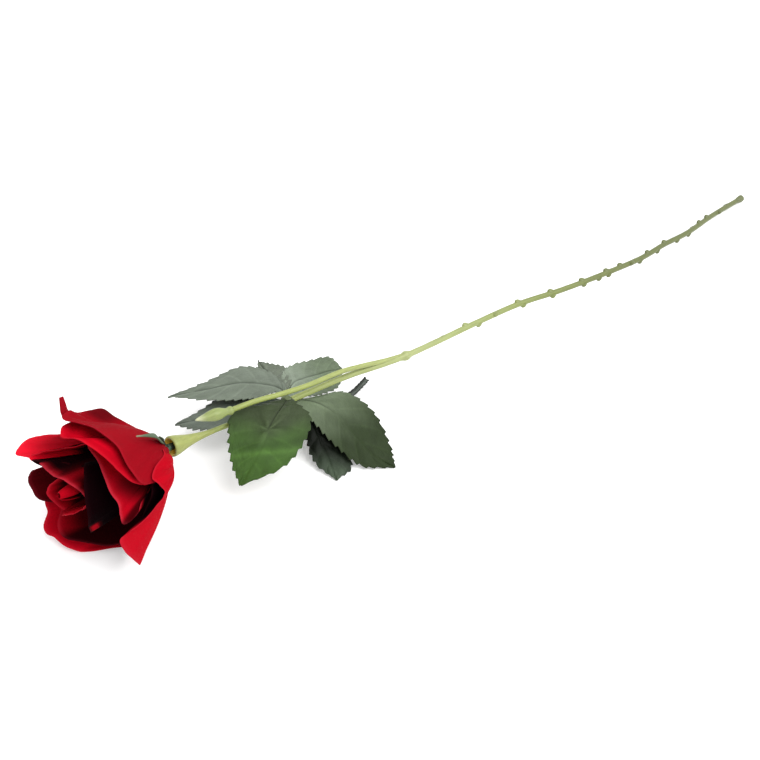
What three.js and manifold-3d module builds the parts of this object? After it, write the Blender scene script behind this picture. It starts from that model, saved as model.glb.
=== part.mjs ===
// A long-stemmed artificial rose lying on its side: fabric petals on a plastic core, a whorl of fabric
// leaves pushed onto a moulded green stem, and a side shoot with a closed bud.
// Millimetres. +X runs along the stem from the bloom to the cut end, +Z is up, and the surface that the
// flower lies on is z = 0. Places are given from a point below the mouth of the stem's socket, and the
// last lines move everything so that the origin is under the middle of the flower.
import * as THREE from 'three';
import { mergeVertices } from 'three/addons/utils/BufferGeometryUtils.js';
import Module from 'manifold-3d';

const wasm = await Module();
wasm.setup();

// ---------------------------------------------------------------- driving dimensions

const ORIGIN_SHIFT = [-242.4, 1.6, -3];

const STEM_ROUTE = [
  [0, 0, 41], [23.1, -1.9, 39.6], [78.8, -4.6, 36.1], [127.4, -5.6, 33], [174.6, -10.6, 30.1],
  [245.5, -9, 25.6], [285.2, -9.2, 23.1], [322.3, -13.8, 20.8], [363.2, -16.6, 18.2], [408.4, -17.8, 15.4],
  [441.9, -14.3, 13.3], [474.5, -12.6, 11.2], [515.2, -5.8, 8.4], [562.5, -0.6, 5.45], [568.5, 0.1, 5.1],
];
const STEM_RADIUS = 2.05;
const NECK_RADIUS = 1.6;
const STEM_SIDES = 10;
const STEP_LENGTH = 13;
const NECK_START = 22;
const LEAF_STOP = 85;
const STEM_END = 562.5;

const SHOOT_ROUTE = [
  [181, -10.4, 29.7], [160, -9.2, 32.9], [140, -7.7, 37], [122, -7.2, 40.5], [97, -8.7, 44],
  [77, -8.3, 47], [58, -6.3, 49.6], [39, -5.4, 51.2],
];
const SHOOT_RADIUS = 1.65;
const BUD_TIP = [18.4, -1.8, 53];
// Radius of the closed bud at its distance from the end of the shoot.
const BUD_PROFILE = [
  [0, -3], [1.6, -3], [2.6, -1], [2.1, 1.5], [3.4, 6], [3.5, 9.5], [2.3, 14.5], [1.1, 19], [0, 21.7],
];

const WIRE_RADIUS = 0.5;
const WIRE_BORE_RADIUS = 0.95;
const WIRE_START = 26;
const WIRE_PROUD = 0.6;

// Thorn stubs: place along X, and degrees round the stem from straight up towards +Y.
const THORNS = [
  [210, 118], [232, 31], [244, 205], [260, -60], [284, 31], [288, 211], [314, 25], [315, 215], [329, 120],
  [345, 31], [346, 211], [362, 205], [371, 36], [372, 216], [386, 31], [397, -62], [408, 205], [419, 31],
  [432, 211], [443, 31], [459, 205], [475, 205], [484, 112], [494, 31], [507, 31], [525, -65], [541, 105],
];
const THORN = { root: 1.55, tip: 0.65, height: 2.5, sunk: 1.1 };
const FORK_NODE = { x: 175, radius: 2.75, length: 3.6 };
const CUT_COLLAR = { radius: 2.45, length: 3 };

// The socket's section, as radius and distance behind its mouth: floor, wall, rim and outside.
const SOCKET_PROFILE = [
  [0, 12], [2.7, 12], [3.1, 7], [4.7, 0.4], [5.2, 0], [6.1, 0], [6.5, 0.7], [6.1, 3.5], [4.7, 8.5],
  [3.3, 14], [2.4, 20], [1.65, 29], [0, 29],
];

const BLOOM_BASE = [-3, -0.3, 41.4];
const BLOOM_AZIMUTH = -173;
const BLOOM_ELEVATION = 9.5;
const PETAL_THICKNESS = 0.8;
// Petals that reach the surface are pressed flat on it.
const PRESSED_HEIGHT = 3.4;
const PETAL_ROOT_RADIUS = 3.1;
const CORE_BORE_RADIUS = 2.55;
const CORE_BORE_TOP = 24;
// Outside of the core that the petals are fixed to, as radius and height; its top is the furled eye.
const CORE_PROFILE = [
  [5, 0.9], [6.6, 8], [6.8, 30], [6.6, 52], [6.3, 59], [4.2, 62], [4, 69], [2.4, 73], [0, 74],
];

// Petals, in the bloom's own cylinder: each rim point is [degrees round, radius, height], with
// 0 degrees at the top of the bloom and 90 degrees on its far side. The cup's two [radius, height] pull
// a petal's lengthwise lines outward on their way from the root to the rim. A flat side is given by the
// degrees between which the cup narrows and the share it narrows by.
const PETALS = [
  // outer whorl
  { name: 'front', cup: [[14, 8], [37, 38]], base: 3.4, flat: [-30, 10, 0.3], spread: [1.3, 1.2], rim: [
    [-78, 26, 24], [-73, 31, 33.4], [-70, 34, 40], [-64, 37, 47.1], [-58, 39.5, 52.6], [-51, 40.5, 56],
    [-43, 41, 58.9], [-35, 41, 61.3], [-21, 40, 64], [-11, 38.5, 66.6], [0, 36.2, 69.8], [8, 36.5, 68],
    [14, 37.8, 64], [18, 37.5, 56]] },
  { name: 'top', cup: [[15, 7], [34, 30]], base: 1.8, flat: [0, 25, 0.45], spread: [1.3, 1.2], rim: [
    [-76, 27, 24], [-71, 34, 36], [-65, 40, 45.5], [-59, 42, 49.3], [-51, 43, 51.8], [-41, 43.5, 52.6],
    [-32, 43.5, 52.7], [-18, 42.5, 55.4], [-5, 41.5, 57], [3, 41.5, 60.6], [9, 43, 64.7], [14, 43.7, 63.1],
    [19, 43.5, 56.5], [25, 39.5, 50], [30, 37.6, 40], [36, 35, 29], [41, 27, 23], [46, 21, 20],
    [50, 18, 18]] },
  { name: 'far', cup: [[14, 5], [31, 30]], base: 1.5, spread: [1.2, 1.2], rim: [
    [30, 25, 33], [50, 30, 55], [68, 38, 60], [83, 47, 64], [95, 52, 67], [101, 50, 58.5],
    [112, 42, 46], [124, 30, 28]] },
  { name: 'low', cup: [[18, 2], [44, 25]], base: 2.4, spread: [1.2, 1.2], rim: [
    [106, 32, 30], [126, 39, 59], [141, 42.5, 63], [149, 48.5, 67], [158, 45, 66], [168, 44.8, 64.5],
    [176, 46, 60.5], [184, 47.8, 52.5], [192, 47.3, 42], [206, 38, 31]] },
  { name: 'near', cup: [[15.5, 1.8], [34.5, 19.5]], base: 1.7, spread: [1.2, 1.2], rim: [
    [190, 34, 22], [204, 42.2, 37], [214, 47.6, 45], [226, 49.5, 49.5], [236, 53.3, 53.5],
    [246, 51.5, 60], [256, 49, 66], [266, 46.5, 68], [267, 44, 55.7], [269, 42, 46.3], [272, 40, 39.3],
    [275, 38.5, 33.3], [279, 37.5, 31.6], [287, 37, 34.5], [294, 36.5, 37], [299, 35, 33.5],
    [301, 33, 29.8], [305, 26, 19.2], [312, 20, 15]] },
  // second whorl
  { name: 'near_second', cup: [[14, 7], [29, 34]], base: 4.6, spread: [1.6, 1.2], rim: [
    [-84, 28, 34], [-88, 32, 42], [-96, 34.5, 46], [-100, 35.5, 52.3], [-98, 35.5, 57.6],
    [-90, 34, 57.9], [-78, 32.7, 58], [-63, 31, 60.6], [-43, 30, 59.7], [-29, 29, 58.2], [-10, 28, 57],
    [10, 25, 50]] },
  { name: 'far_second', cup: [[12, 6], [26, 34]], base: 5.4, spread: [1.2, 1.2], rim: [
    [26, 21, 47], [45, 21, 50], [62, 24, 53], [75, 29.5, 57.5], [84, 36, 62.5], [91, 40, 65.5],
    [98, 35, 60], [108, 30, 50]] },
  { name: 'left_second', cup: [[14, 6], [35, 32]], base: 4.6, spread: [1.2, 1.2], rim: [
    [84, 24, 60], [92, 28.5, 65.5], [99, 34, 69], [108, 37, 70], [117, 37, 69], [128, 37, 66.5],
    [140, 34, 56]] },
  { name: 'low_second', cup: [[16, 6], [38, 32]], base: 5.8, spread: [1.2, 1.2], rim: [
    [142, 31, 58], [158, 35, 66], [170, 37, 66], [180, 37.8, 60.6], [190, 38.5, 55.5], [202, 40, 49],
    [212, 38, 40]] },
  // inner whorl, furled round the core
  { name: 'hollow', cup: [[15, 3.2], [33, 22]], base: 3.2, spread: [1.2, 1.2], rim: [
    [-140, 38, 52], [-120, 37.5, 50], [-108, 36.5, 47], [-97, 35.5, 43.5], [-86, 34.5, 38.5],
    [-78, 33.5, 36], [-66, 31, 32]] },
  { name: 'near_inner', cup: [[12, 9], [24, 36]], base: 7.5, spread: [1.2, 1.2], rim: [
    [-142, 25, 64], [-126, 22, 67], [-107, 21, 68.9], [-78, 20, 69.6], [-55, 19.5, 68.2],
    [-40, 19, 65.5], [-21, 19, 61.6], [-6, 16, 57]] },
  { name: 'fold_outer', cup: [[10, 10], [18, 36]], base: 8.5, spread: [1.2, 1.2], rim: [
    [34, 9.5, 54], [58, 12, 56], [72, 19, 60], [81, 27, 64.5], [87, 34.5, 67.5], [94, 31, 63],
    [102, 26, 57]] },
  { name: 'fold_inner', cup: [[9, 12], [13, 40]], base: 9.5, spread: [1.2, 1.2], rim: [
    [-85, 11.5, 64], [-58, 10, 66], [-28, 9.5, 69], [10, 9, 70], [48, 10.5, 70.5], [70, 17, 69.5],
    [78, 26, 68.5]] },
  { name: 'ring', cup: [[10, 12], [17, 40]], base: 10.5, spread: [1.2, 1.2], rim: [
    [82, 11, 66], [100, 14, 69.5], [118, 17, 71], [138, 18, 68.5], [160, 17.5, 66]] },
  { name: 'low_inner', cup: [[10, 13], [18, 42]], base: 11.5, spread: [1.2, 1.2], rim: [
    [158, 21, 66], [168, 17, 69.5], [182, 13.5, 70.5], [202, 12, 69.5], [226, 11.5, 66],
    [252, 12.5, 66], [268, 14.5, 64]] },
];
// The top petal's twisted tip, standing out from its rim: [radius, low edge's height, high edge's height].
const HORN = [[42, 54.5, 61], [45, 57, 61.3], [49, 57.5, 60.8], [53, 57.9, 60.4]];
const HORN_DEGREES = 18;
const MOST_COLUMNS = 20;
const PETAL_ROWS = 5;
const PETAL_FOOT = 0.5;

// Sepals lie along the outside of the petals, each on a path of [radius, height]. One is raised off them,
// and one is short and stays close to the stem.
const RAISED_SEPAL = [[1.6, -1.1], [7.5, 1.1], [15, 7.1], [22.5, 14], [29.5, 22], [35.3, 34]];
const LOW_SEPAL = [[1.6, -1.1], [7.3, 0.2], [12, 1.7], [16.8, 4.1], [21.5, 7.2]];
const SHORT_SEPAL = [[1.6, -1.1], [4.4, -0.6], [6.4, 0], [8.2, 0.6]];
const SEPALS = [
  { degrees: -30, path: RAISED_SEPAL }, { degrees: 42, path: SHORT_SEPAL }, { degrees: 114, path: LOW_SEPAL },
  { degrees: 186, path: LOW_SEPAL },
];
const SEPAL_HALF_WIDTH = 2.6;
const SEPAL_THICKNESS = 0.8;
const CALYX_PROFILE = [[0, -2.4], [1.9, -2.4], [2.2, -1.9], [2.2, 22.5], [1.4, 23.4], [0, 23.4]];
const PEG = { radius: 2.15, depth: 9.5, joint: 2.4, bevel: 0.6 };

const HUB_X = 81.5;
const HUB = { bore: 2.05, radius: 3.9, length: 4.4 };
const LEAF_THICKNESS = 0.7;
const LEAF_ROOT_RADIUS = 3.0;
const LEAF_TEETH = 9;
const TOOTH_DEPTH = 0.1;
const LEAF_STALK = 0.12;
const LEAF_END = 0.05;
// Leaves: the root's degrees round the hub from +Y towards +Z, the midrib from the root to the tip, and
// the blade's two outlines beside it. The outlines run from a narrow stalk to the tip, blunt on one leaf.
const LEAVES = [
  {
    name: 'far_long', root: 8,
    rib: [[87.9, 10.2, 34], [82.7, 23.8, 32.5], [72.5, 36.8, 30.5], [55.6, 46.8, 28], [33.2, 58.7, 26]],
    left: [[93.5, 14.6, 33], [95.5, 35.2, 30], [86.1, 52.9, 28], [58.3, 56.3, 26.5]],
    right: [[82.8, 8.5, 34], [71.8, 12.8, 33], [60.7, 21.2, 31.5], [45.5, 37.4, 29]],
  },
  {
    name: 'far_low', root: -28,
    rib: [[77, 9.6, 29], [63.7, 16.2, 27], [51, 23.7, 24], [38.9, 32.1, 21], [26.2, 40.8, 18]],
    left: [[79.9, 15.9, 28.5], [70.9, 28.9, 26], [59.4, 39.4, 23], [43.7, 40.8, 20]],
    right: [[71.6, 4.2, 29.5], [53.6, 7.1, 27.5], [38.6, 13, 24.5], [30, 26.5, 20]],
  },
  {
    name: 'far_short', root: 30,
    rib: [[94, 17.8, 30], [95.4, 27.6, 27.5], [97.4, 37.9, 25], [100.2, 48.3, 22.5], [103.7, 58.8, 20]],
    left: [[102.2, 18.1, 29], [108.8, 27.2, 26.5], [111.7, 38, 23.5], [107.8, 49.8, 21.5]],
    right: [[89.4, 16.8, 30.5], [88.3, 26.5, 28.5], [91.8, 39.6, 25.5], [98.5, 52.8, 22]],
  },
  {
    name: 'far_stem', root: -55,
    rib: [[99.7, 14.7, 29], [111.2, 18.3, 26], [122.7, 18.4, 23.5], [134.5, 18.5, 21], [142.2, 15.4, 19]],
    left: [[100.3, 27.7, 27.5], [112.1, 36.2, 25], [128.3, 35.6, 22.5], [144, 31.9, 20]],
    right: [[94.9, 3.9, 29], [102.7, -0.4, 26], [113.5, -2.1, 23.5], [127.6, 1.2, 20.5]],
  },
  {
    name: 'near_left', root: 118,
    rib: [[65.3, -17.4, 42.5], [54.5, -23.9, 41.5], [45, -29.8, 38], [35.3, -33.5, 31], [24.6, -34.6, 20]],
    left: [[62.9, -5.2, 44], [45, 1, 44], [30.7, -13.7, 40], [24.3, -25.4, 31]],
    right: [[84.7, -11.3, 38], [86, -24.8, 33], [69.7, -38.5, 30], [50.4, -43.3, 25]],
  },
  {
    name: 'near_right', root: 195,
    rib: [[95.1, -5.5, 31], [106.4, -14.3, 24], [109.2, -33, 17.5], [110.4, -53.3, 9.5], [116.9, -67.9, 4.1]],
    left: [[105.7, -4.9, 28], [127.8, -5.9, 21], [133.6, -27.4, 15], [125.9, -54, 8]],
    right: [[86.5, -11.6, 30], [89.9, -20.1, 23], [93.2, -36.8, 14], [99.3, -55.9, 6]],
  },
  {
    name: 'near_low', root: 232,
    rib: [[91.6, -9.8, 27], [91.3, -19.2, 20], [89.3, -29.6, 13], [86.2, -41.5, 7], [81.7, -53.5, 4.1]],
    left: [[96.8, -12.1, 24], [103.5, -22.8, 14], [102.6, -39, 8.5], [95.9, -52.2, 4.6]],
    right: [[88, -9.4, 27], [85.6, -16.2, 19.5], [81, -23.9, 13], [77.9, -36.9, 7]],
  },
  {
    name: 'rolled', root: 262, end: 1,
    rib: [[100.3, -3.5, 25], [120, -2.9, 16], [135.1, 0.4, 10], [148.7, 5.5, 8], [158.4, 9.9, 7]],
    left: [[101, -1.4, 25], [120.6, 0, 16], [134.7, 2.6, 10.8], [148.2, 7.5, 8.8]],
    right: [[99.5, -5.5, 25], [119.4, -5.7, 16], [135.2, -2.1, 9.3], [149.3, 3.6, 7.2]],
  },
];

// ---------------------------------------------------------------- small helpers

const radians = THREE.MathUtils.degToRad;
const vector = (point) => new THREE.Vector3(...point);

// Uniform Catmull-Rom through hand-placed points of any dimension, at t from 0 to 1.
function through(points, t) {
  const last = points.length - 1;
  const place = Math.min(Math.max(t, 0), 1) * last;
  const i = Math.min(Math.floor(place), last - 1);
  const f = place - i;
  const at = (k, axis) => {
    if (k < 0) return 2 * points[0][axis] - points[1][axis];
    if (k > last) return 2 * points[last][axis] - points[last - 1][axis];
    return points[k][axis];
  };
  return points[0].map((_, axis) => {
    const [a, b, c, d] = [i - 1, i, i + 1, i + 2].map((k) => at(k, axis));
    return b + 0.5 * f * (c - a + f * (2 * a - 5 * b + 4 * c - d + f * (3 * (b - c) + d - a)));
  });
}

// A closed three.js geometry as a solid, with repeated corners merged and its faces turned outward.
function solid(geometry) {
  const bare = geometry.clone();
  bare.deleteAttribute('normal');
  bare.deleteAttribute('uv');
  const merged = mergeVertices(bare, 1e-5);
  const places = merged.attributes.position.array;
  const index = merged.index.array;
  const corners = [];
  let volume = 0;
  for (let i = 0; i < index.length; i += 3) {
    const [a, b, c] = [index[i], index[i + 1], index[i + 2]];
    if (a === b || b === c || c === a) continue;
    corners.push(a, b, c);
    const [p, q, r] = [a, b, c].map((k) => new THREE.Vector3().fromArray(places, 3 * k));
    volume += p.dot(q.cross(r));
  }
  if (volume < 0) {
    for (let i = 0; i < corners.length; i += 3) {
      [corners[i], corners[i + 1]] = [corners[i + 1], corners[i]];
    }
  }
  return new wasm.Manifold(new wasm.Mesh({
    numProp: 3,
    vertProperties: Float32Array.from(places),
    triVerts: Uint32Array.from(corners),
  }));
}

function fuse(solids) {
  return solids.reduce((all, next) => all.add(next));
}

function geometryOf(manifold) {
  const mesh = manifold.getMesh();
  const geometry = new THREE.BufferGeometry();
  geometry.setAttribute('position', new THREE.BufferAttribute(mesh.vertProperties, 3));
  geometry.setIndex(new THREE.BufferAttribute(mesh.triVerts, 1));
  geometry.computeVertexNormals();
  return geometry;
}

// A blade with a thickness, from a grid of points: both faces are split along the same diagonals.
function blade(rows, thickness) {
  const high = rows.length;
  const wide = rows[0].length;
  const normalAt = (i, j) => {
    const along = rows[Math.min(i + 1, high - 1)][j].clone().sub(rows[Math.max(i - 1, 0)][j]);
    const across = rows[i][Math.min(j + 1, wide - 1)].clone().sub(rows[i][Math.max(j - 1, 0)]);
    return along.cross(across).normalize();
  };
  const positions = [];
  for (const side of [0.5, -0.5]) {
    rows.forEach((row, i) => row.forEach((point, j) => {
      positions.push(...point.clone().addScaledVector(normalAt(i, j), side * thickness).toArray());
    }));
  }
  const top = (i, j) => i * wide + j;
  const bottom = (i, j) => high * wide + i * wide + j;
  const index = [];
  for (let i = 0; i < high - 1; i += 1) {
    for (let j = 0; j < wide - 1; j += 1) {
      index.push(top(i, j), top(i, j + 1), top(i + 1, j + 1), top(i, j), top(i + 1, j + 1), top(i + 1, j));
      index.push(bottom(i, j), bottom(i + 1, j + 1), bottom(i, j + 1));
      index.push(bottom(i, j), bottom(i + 1, j), bottom(i + 1, j + 1));
    }
  }
  const border = [];
  for (let j = 0; j < wide - 1; j += 1) border.push([0, j]);
  for (let i = 0; i < high - 1; i += 1) border.push([i, wide - 1]);
  for (let j = wide - 1; j > 0; j -= 1) border.push([high - 1, j]);
  for (let i = high - 1; i > 0; i -= 1) border.push([i, 0]);
  border.forEach((from, k) => {
    const to = border[(k + 1) % border.length];
    index.push(top(...from), bottom(...from), bottom(...to), top(...from), bottom(...to), top(...to));
  });
  const geometry = new THREE.BufferGeometry();
  geometry.setAttribute('position', new THREE.Float32BufferAttribute(positions, 3));
  geometry.setIndex(index);
  return solid(geometry);
}

// A round bar along a curve.
function bar(curve, radius, sides) {
  const section = new THREE.Shape();
  for (let k = 0; k <= sides; k += 1) {
    const angle = (2 * Math.PI * k) / sides;
    const corner = [radius * Math.cos(angle), radius * Math.sin(angle)];
    if (k === 0) section.moveTo(...corner);
    else section.lineTo(...corner);
  }
  const steps = Math.max(2, Math.round(curve.getLength() / STEP_LENGTH));
  return solid(new THREE.ExtrudeGeometry(section, { steps, extrudePath: curve }));
}

// A turned shape whose axis runs from one point towards another.
function turned(profile, sides, from, towards) {
  const geometry = new THREE.LatheGeometry(profile.map(([r, y]) => new THREE.Vector2(r, y)), sides);
  const direction = vector(towards).sub(vector(from)).normalize();
  geometry.applyQuaternion(new THREE.Quaternion().setFromUnitVectors(new THREE.Vector3(0, 1, 0), direction));
  geometry.translate(...from);
  return solid(geometry);
}

// ---------------------------------------------------------------- the stem and its wire

const stemCurve = new THREE.CatmullRomCurve3(STEM_ROUTE.map(vector), false, 'catmullrom', 0.5);
const shootCurve = new THREE.CatmullRomCurve3(SHOOT_ROUTE.map(vector), false, 'catmullrom', 0.5);

// The point of the stem's middle line at a given x.
function stemAt(x) {
  let [low, high] = [0, 1];
  for (let i = 0; i < 30; i += 1) {
    const middle = (low + high) / 2;
    if (stemCurve.getPoint(middle).x < x) low = middle;
    else high = middle;
  }
  return stemCurve.getPoint(low);
}

function stemStretch(from, to) {
  const pieces = Math.round((to - from) / STEP_LENGTH);
  const points = [];
  for (let i = 0; i <= pieces; i += 1) points.push(stemAt(from + ((to - from) * i) / pieces));
  return new THREE.CatmullRomCurve3(points, false, 'catmullrom', 0.5);
}

function thorn([x, degrees]) {
  const angle = radians(degrees);
  const outward = new THREE.Vector3(0, Math.sin(angle), Math.cos(angle));
  const foot = stemAt(x).addScaledVector(outward, STEM_RADIUS - THORN.sunk);
  const profile = [[0, 0], [THORN.root, 0], [THORN.tip, THORN.height], [0, THORN.height]];
  return turned(profile, 6, foot.toArray(), foot.clone().add(outward).toArray());
}

function forkNode() {
  const swelling = new THREE.SphereGeometry(FORK_NODE.radius, 10, 6);
  swelling.scale(FORK_NODE.length / FORK_NODE.radius, 1, 1);
  swelling.translate(...stemAt(FORK_NODE.x).toArray());
  return solid(swelling);
}

function cutCollar() {
  const from = stemAt(STEM_END - CUT_COLLAR.length).toArray();
  const { radius, length } = CUT_COLLAR;
  const profile = [[0, 0], [STEM_RADIUS * 0.9, 0], [radius, length * 0.4], [radius, length], [0, length]];
  return turned(profile, STEM_SIDES, from, stemAt(STEM_END).toArray());
}

function makeStem() {
  const mouth = STEM_ROUTE[0];
  const solidStem = fuse([
    bar(stemStretch(NECK_START, LEAF_STOP + 2), NECK_RADIUS, STEM_SIDES),
    bar(stemStretch(LEAF_STOP, STEM_END), STEM_RADIUS, STEM_SIDES),
    turned(SOCKET_PROFILE, 16, mouth, stemAt(NECK_START).toArray()),
    bar(shootCurve, SHOOT_RADIUS, 8),
    turned(BUD_PROFILE, 10, SHOOT_ROUTE[SHOOT_ROUTE.length - 1], BUD_TIP),
    forkNode(),
    cutCollar(),
    ...THORNS.map(thorn),
  ]);
  return solidStem.subtract(bar(stemStretch(WIRE_START, STEM_END + 4), WIRE_BORE_RADIUS, 8));
}

function makeWire() {
  return bar(stemStretch(WIRE_START + 0.4, STEM_END + WIRE_PROUD), WIRE_RADIUS, 6);
}

// ---------------------------------------------------------------- the bloom

const bloomFrame = (() => {
  const [azimuth, elevation] = [radians(BLOOM_AZIMUTH), radians(BLOOM_ELEVATION)];
  const axis = new THREE.Vector3(
    Math.cos(elevation) * Math.cos(azimuth), Math.cos(elevation) * Math.sin(azimuth), Math.sin(elevation));
  const up = new THREE.Vector3(0, 0, 1).addScaledVector(axis, -axis.z).normalize();
  const side = new THREE.Vector3().crossVectors(axis, up);
  return new THREE.Matrix4().makeBasis(up, side, axis).setPosition(...BLOOM_BASE);
})();

function bloomPoint(degrees, radius, height) {
  const angle = radians(degrees);
  const point = new THREE.Vector3(radius * Math.cos(angle), radius * Math.sin(angle), height);
  return point.applyMatrix4(bloomFrame);
}

// A petal rises from the core as a cup and ends in its rim. Each lengthwise line is a cubic curve in
// radius and height; the petal is narrower at its root and spreads to the rim's full width.
function petalPoint({ rim, cup, base, spread, flat = [0, 1, 0] }, across, along) {
  const [turn, radius, height] = through(rim, across);
  const middle = (rim[0][0] + rim[rim.length - 1][0]) / 2;
  const opening = PETAL_FOOT + (1 - PETAL_FOOT) * along ** (across < 0.5 ? spread[0] : spread[1]);
  const [[shoulderRadius, shoulderHeight], [bellyRadius, bellyHeight]] = cup;
  const narrowing = flat[2] * THREE.MathUtils.smoothstep(turn, flat[0], flat[1]);
  const wide = Math.min(1, radius / bellyRadius) * (1 - narrowing);
  const tall = Math.min(1, (0.6 * (height - base)) / (bellyHeight - base));
  const weights = [(1 - along) ** 3, 3 * (1 - along) ** 2 * along, 3 * (1 - along) * along ** 2, along ** 3];
  const radii = [PETAL_ROOT_RADIUS, wide * shoulderRadius, wide * bellyRadius, radius];
  const heights = [base, base + tall * (shoulderHeight - base), base + tall * (bellyHeight - base), height];
  const mix = (values) => values.reduce((sum, value, k) => sum + value * weights[k], 0);
  const point = bloomPoint(middle + (turn - middle) * opening, mix(radii), mix(heights));
  point.z = Math.max(point.z, PRESSED_HEIGHT);
  return point;
}

function makePetal(petal) {
  const columns = Math.min(2 * (petal.rim.length - 1), MOST_COLUMNS);
  const rows = [];
  for (let i = 0; i <= PETAL_ROWS; i += 1) {
    const row = [];
    for (let j = 0; j <= columns; j += 1) row.push(petalPoint(petal, j / columns, i / PETAL_ROWS));
    rows.push(row);
  }
  return blade(rows, PETAL_THICKNESS);
}

function makeHorn() {
  const rows = HORN.map(([radius, low, high]) => [0, 0.5, 1].map(
    (s) => bloomPoint(HORN_DEGREES, radius, low + s * (high - low))));
  return blade(rows, PETAL_THICKNESS);
}

function turnedOnBloom(profile, sides) {
  const geometry = new THREE.LatheGeometry(profile.map(([r, y]) => new THREE.Vector2(r, y)), sides);
  geometry.rotateX(Math.PI / 2);
  geometry.applyMatrix4(bloomFrame);
  return solid(geometry);
}

function makeBloom() {
  const bore = [
    [0, CORE_BORE_TOP], [CORE_BORE_RADIUS, CORE_BORE_TOP], [CORE_BORE_RADIUS, CORE_PROFILE[0][1]],
  ];
  return fuse([turnedOnBloom([...bore, ...CORE_PROFILE], 12), ...PETALS.map(makePetal), makeHorn()]);
}

// ---------------------------------------------------------------- the calyx

function sepal({ degrees, path }) {
  const rows = [];
  const count = 6;
  for (let i = 0; i <= count; i += 1) {
    const t = i / count;
    const [radius, height] = through(path, t);
    const spread = Math.sin(Math.PI * Math.max(0, (t - 0.12) / 0.88) ** 0.8);
    const half = SEPAL_HALF_WIDTH * Math.max(0.18, spread);
    const turn = THREE.MathUtils.radToDeg(half / radius);
    rows.push([-1, -0.5, 0, 0.5, 1].map((s) => bloomPoint(degrees + s * turn, radius, height)));
  }
  return blade(rows, SEPAL_THICKNESS);
}

function makeCalyx() {
  const mouth = STEM_ROUTE[0];
  const inward = stemAt(NECK_START).sub(vector(mouth)).normalize();
  const foot = vector(mouth).addScaledVector(inward, PEG.depth);
  const pegLength = PEG.depth + PEG.joint;
  const pegProfile = [
    [0, 0], [PEG.radius - PEG.bevel, 0], [PEG.radius, PEG.bevel], [PEG.radius, pegLength], [0, pegLength],
  ];
  return fuse([
    turnedOnBloom(CALYX_PROFILE, 12),
    turned(pegProfile, 12, foot.toArray(), mouth),
    ...SEPALS.map(sepal),
  ]);
}

// ---------------------------------------------------------------- the leaves

// A toothed blade between its two outlines, from its narrow stalk at the hub to its tip.
function makeLeaf({ root, rib, left, right, end = LEAF_END }) {
  const angle = radians(root);
  const outward = new THREE.Vector3(0, Math.cos(angle), Math.sin(angle));
  const foot = stemAt(HUB_X).addScaledVector(outward, LEAF_ROOT_RADIUS);
  const midrib = [foot.toArray(), ...rib];
  const beside = (from, edgePoint, ribPoint, share) => (
    vector(edgePoint).sub(vector(ribPoint)).multiplyScalar(share).add(vector(from)).toArray());
  const edges = [left, right].map((edge) => [
    beside(midrib[0], edge[0], rib[0], LEAF_STALK),
    ...edge,
    beside(rib[4], edge[3], rib[3], end),
  ]);
  const count = 2 * LEAF_TEETH;
  const rows = [];
  for (let i = 0; i <= count; i += 1) {
    const t = i / count;
    const tooth = i % 2 === 1 && i > 3 ? TOOTH_DEPTH : 0;
    rows.push([-1, -0.5, 0, 0.5, 1].map((s) => {
      const edge = vector(through(edges[s < 0 ? 0 : 1], t));
      return vector(through(midrib, t)).lerp(edge, Math.abs(s) === 1 ? 1 - tooth : Math.abs(s));
    }));
  }
  return blade(rows, LEAF_THICKNESS);
}

function makeLeaves() {
  const from = stemAt(HUB_X - HUB.length / 2).toArray();
  const ring = [
    [HUB.bore, 0], [HUB.radius, 0], [HUB.radius, HUB.length], [HUB.bore, HUB.length], [HUB.bore, 0],
  ];
  return fuse([turned(ring, 12, from, stemAt(HUB_X).toArray()), ...LEAVES.map(makeLeaf)]);
}

// ---------------------------------------------------------------- the scene graph

const material = (color, roughness, metalness = 0) => (
  new THREE.MeshStandardMaterial({ color, roughness, metalness }));

function named(name, manifold, look) {
  const mesh = new THREE.Mesh(geometryOf(manifold), look);
  mesh.name = name;
  return mesh;
}

const rose = new THREE.Group();
rose.add(
  named('stem', makeStem(), material('#a9b95a', 0.55)),
  named('stem_wire', makeWire(), material('#8c8c8c', 0.35, 1)),
  named('bloom', makeBloom(), material('#b50f22', 0.75)),
  named('calyx', makeCalyx(), material('#4d6b43', 0.6)),
  named('leaves', makeLeaves(), material('#55654f', 0.65)),
);
rose.position.set(...ORIGIN_SHIFT);

export default rose;
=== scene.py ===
"""Looks of the artificial rose: cloth petals and leaves, moulded plastic stem and calyx, and the studio.

Points are in millimetres from a place below the socket's mouth, as in the part's source, with the floor at
a height of 3. They are shifted to the frame's origin and turned into metres when a mesh is made.
"""

import math

import bpy
import numpy as np
from mathutils import Matrix, Vector


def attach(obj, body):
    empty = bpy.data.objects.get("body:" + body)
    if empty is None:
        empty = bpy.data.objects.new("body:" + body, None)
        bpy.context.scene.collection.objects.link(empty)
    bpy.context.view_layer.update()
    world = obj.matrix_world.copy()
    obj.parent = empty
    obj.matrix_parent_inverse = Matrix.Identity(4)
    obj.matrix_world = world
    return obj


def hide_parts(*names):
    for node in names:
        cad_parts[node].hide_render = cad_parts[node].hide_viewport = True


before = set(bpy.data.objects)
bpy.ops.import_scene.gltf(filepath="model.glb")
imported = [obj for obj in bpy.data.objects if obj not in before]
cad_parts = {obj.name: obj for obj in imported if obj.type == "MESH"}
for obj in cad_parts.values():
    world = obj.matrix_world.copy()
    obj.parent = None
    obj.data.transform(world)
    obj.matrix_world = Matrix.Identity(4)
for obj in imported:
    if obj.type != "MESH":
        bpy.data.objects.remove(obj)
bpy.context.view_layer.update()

# ---------------------------------------------------------------- shape

ORIGIN_SHIFT = np.array([-242.4, 1.6, -3.0])
MM = 0.001
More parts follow.
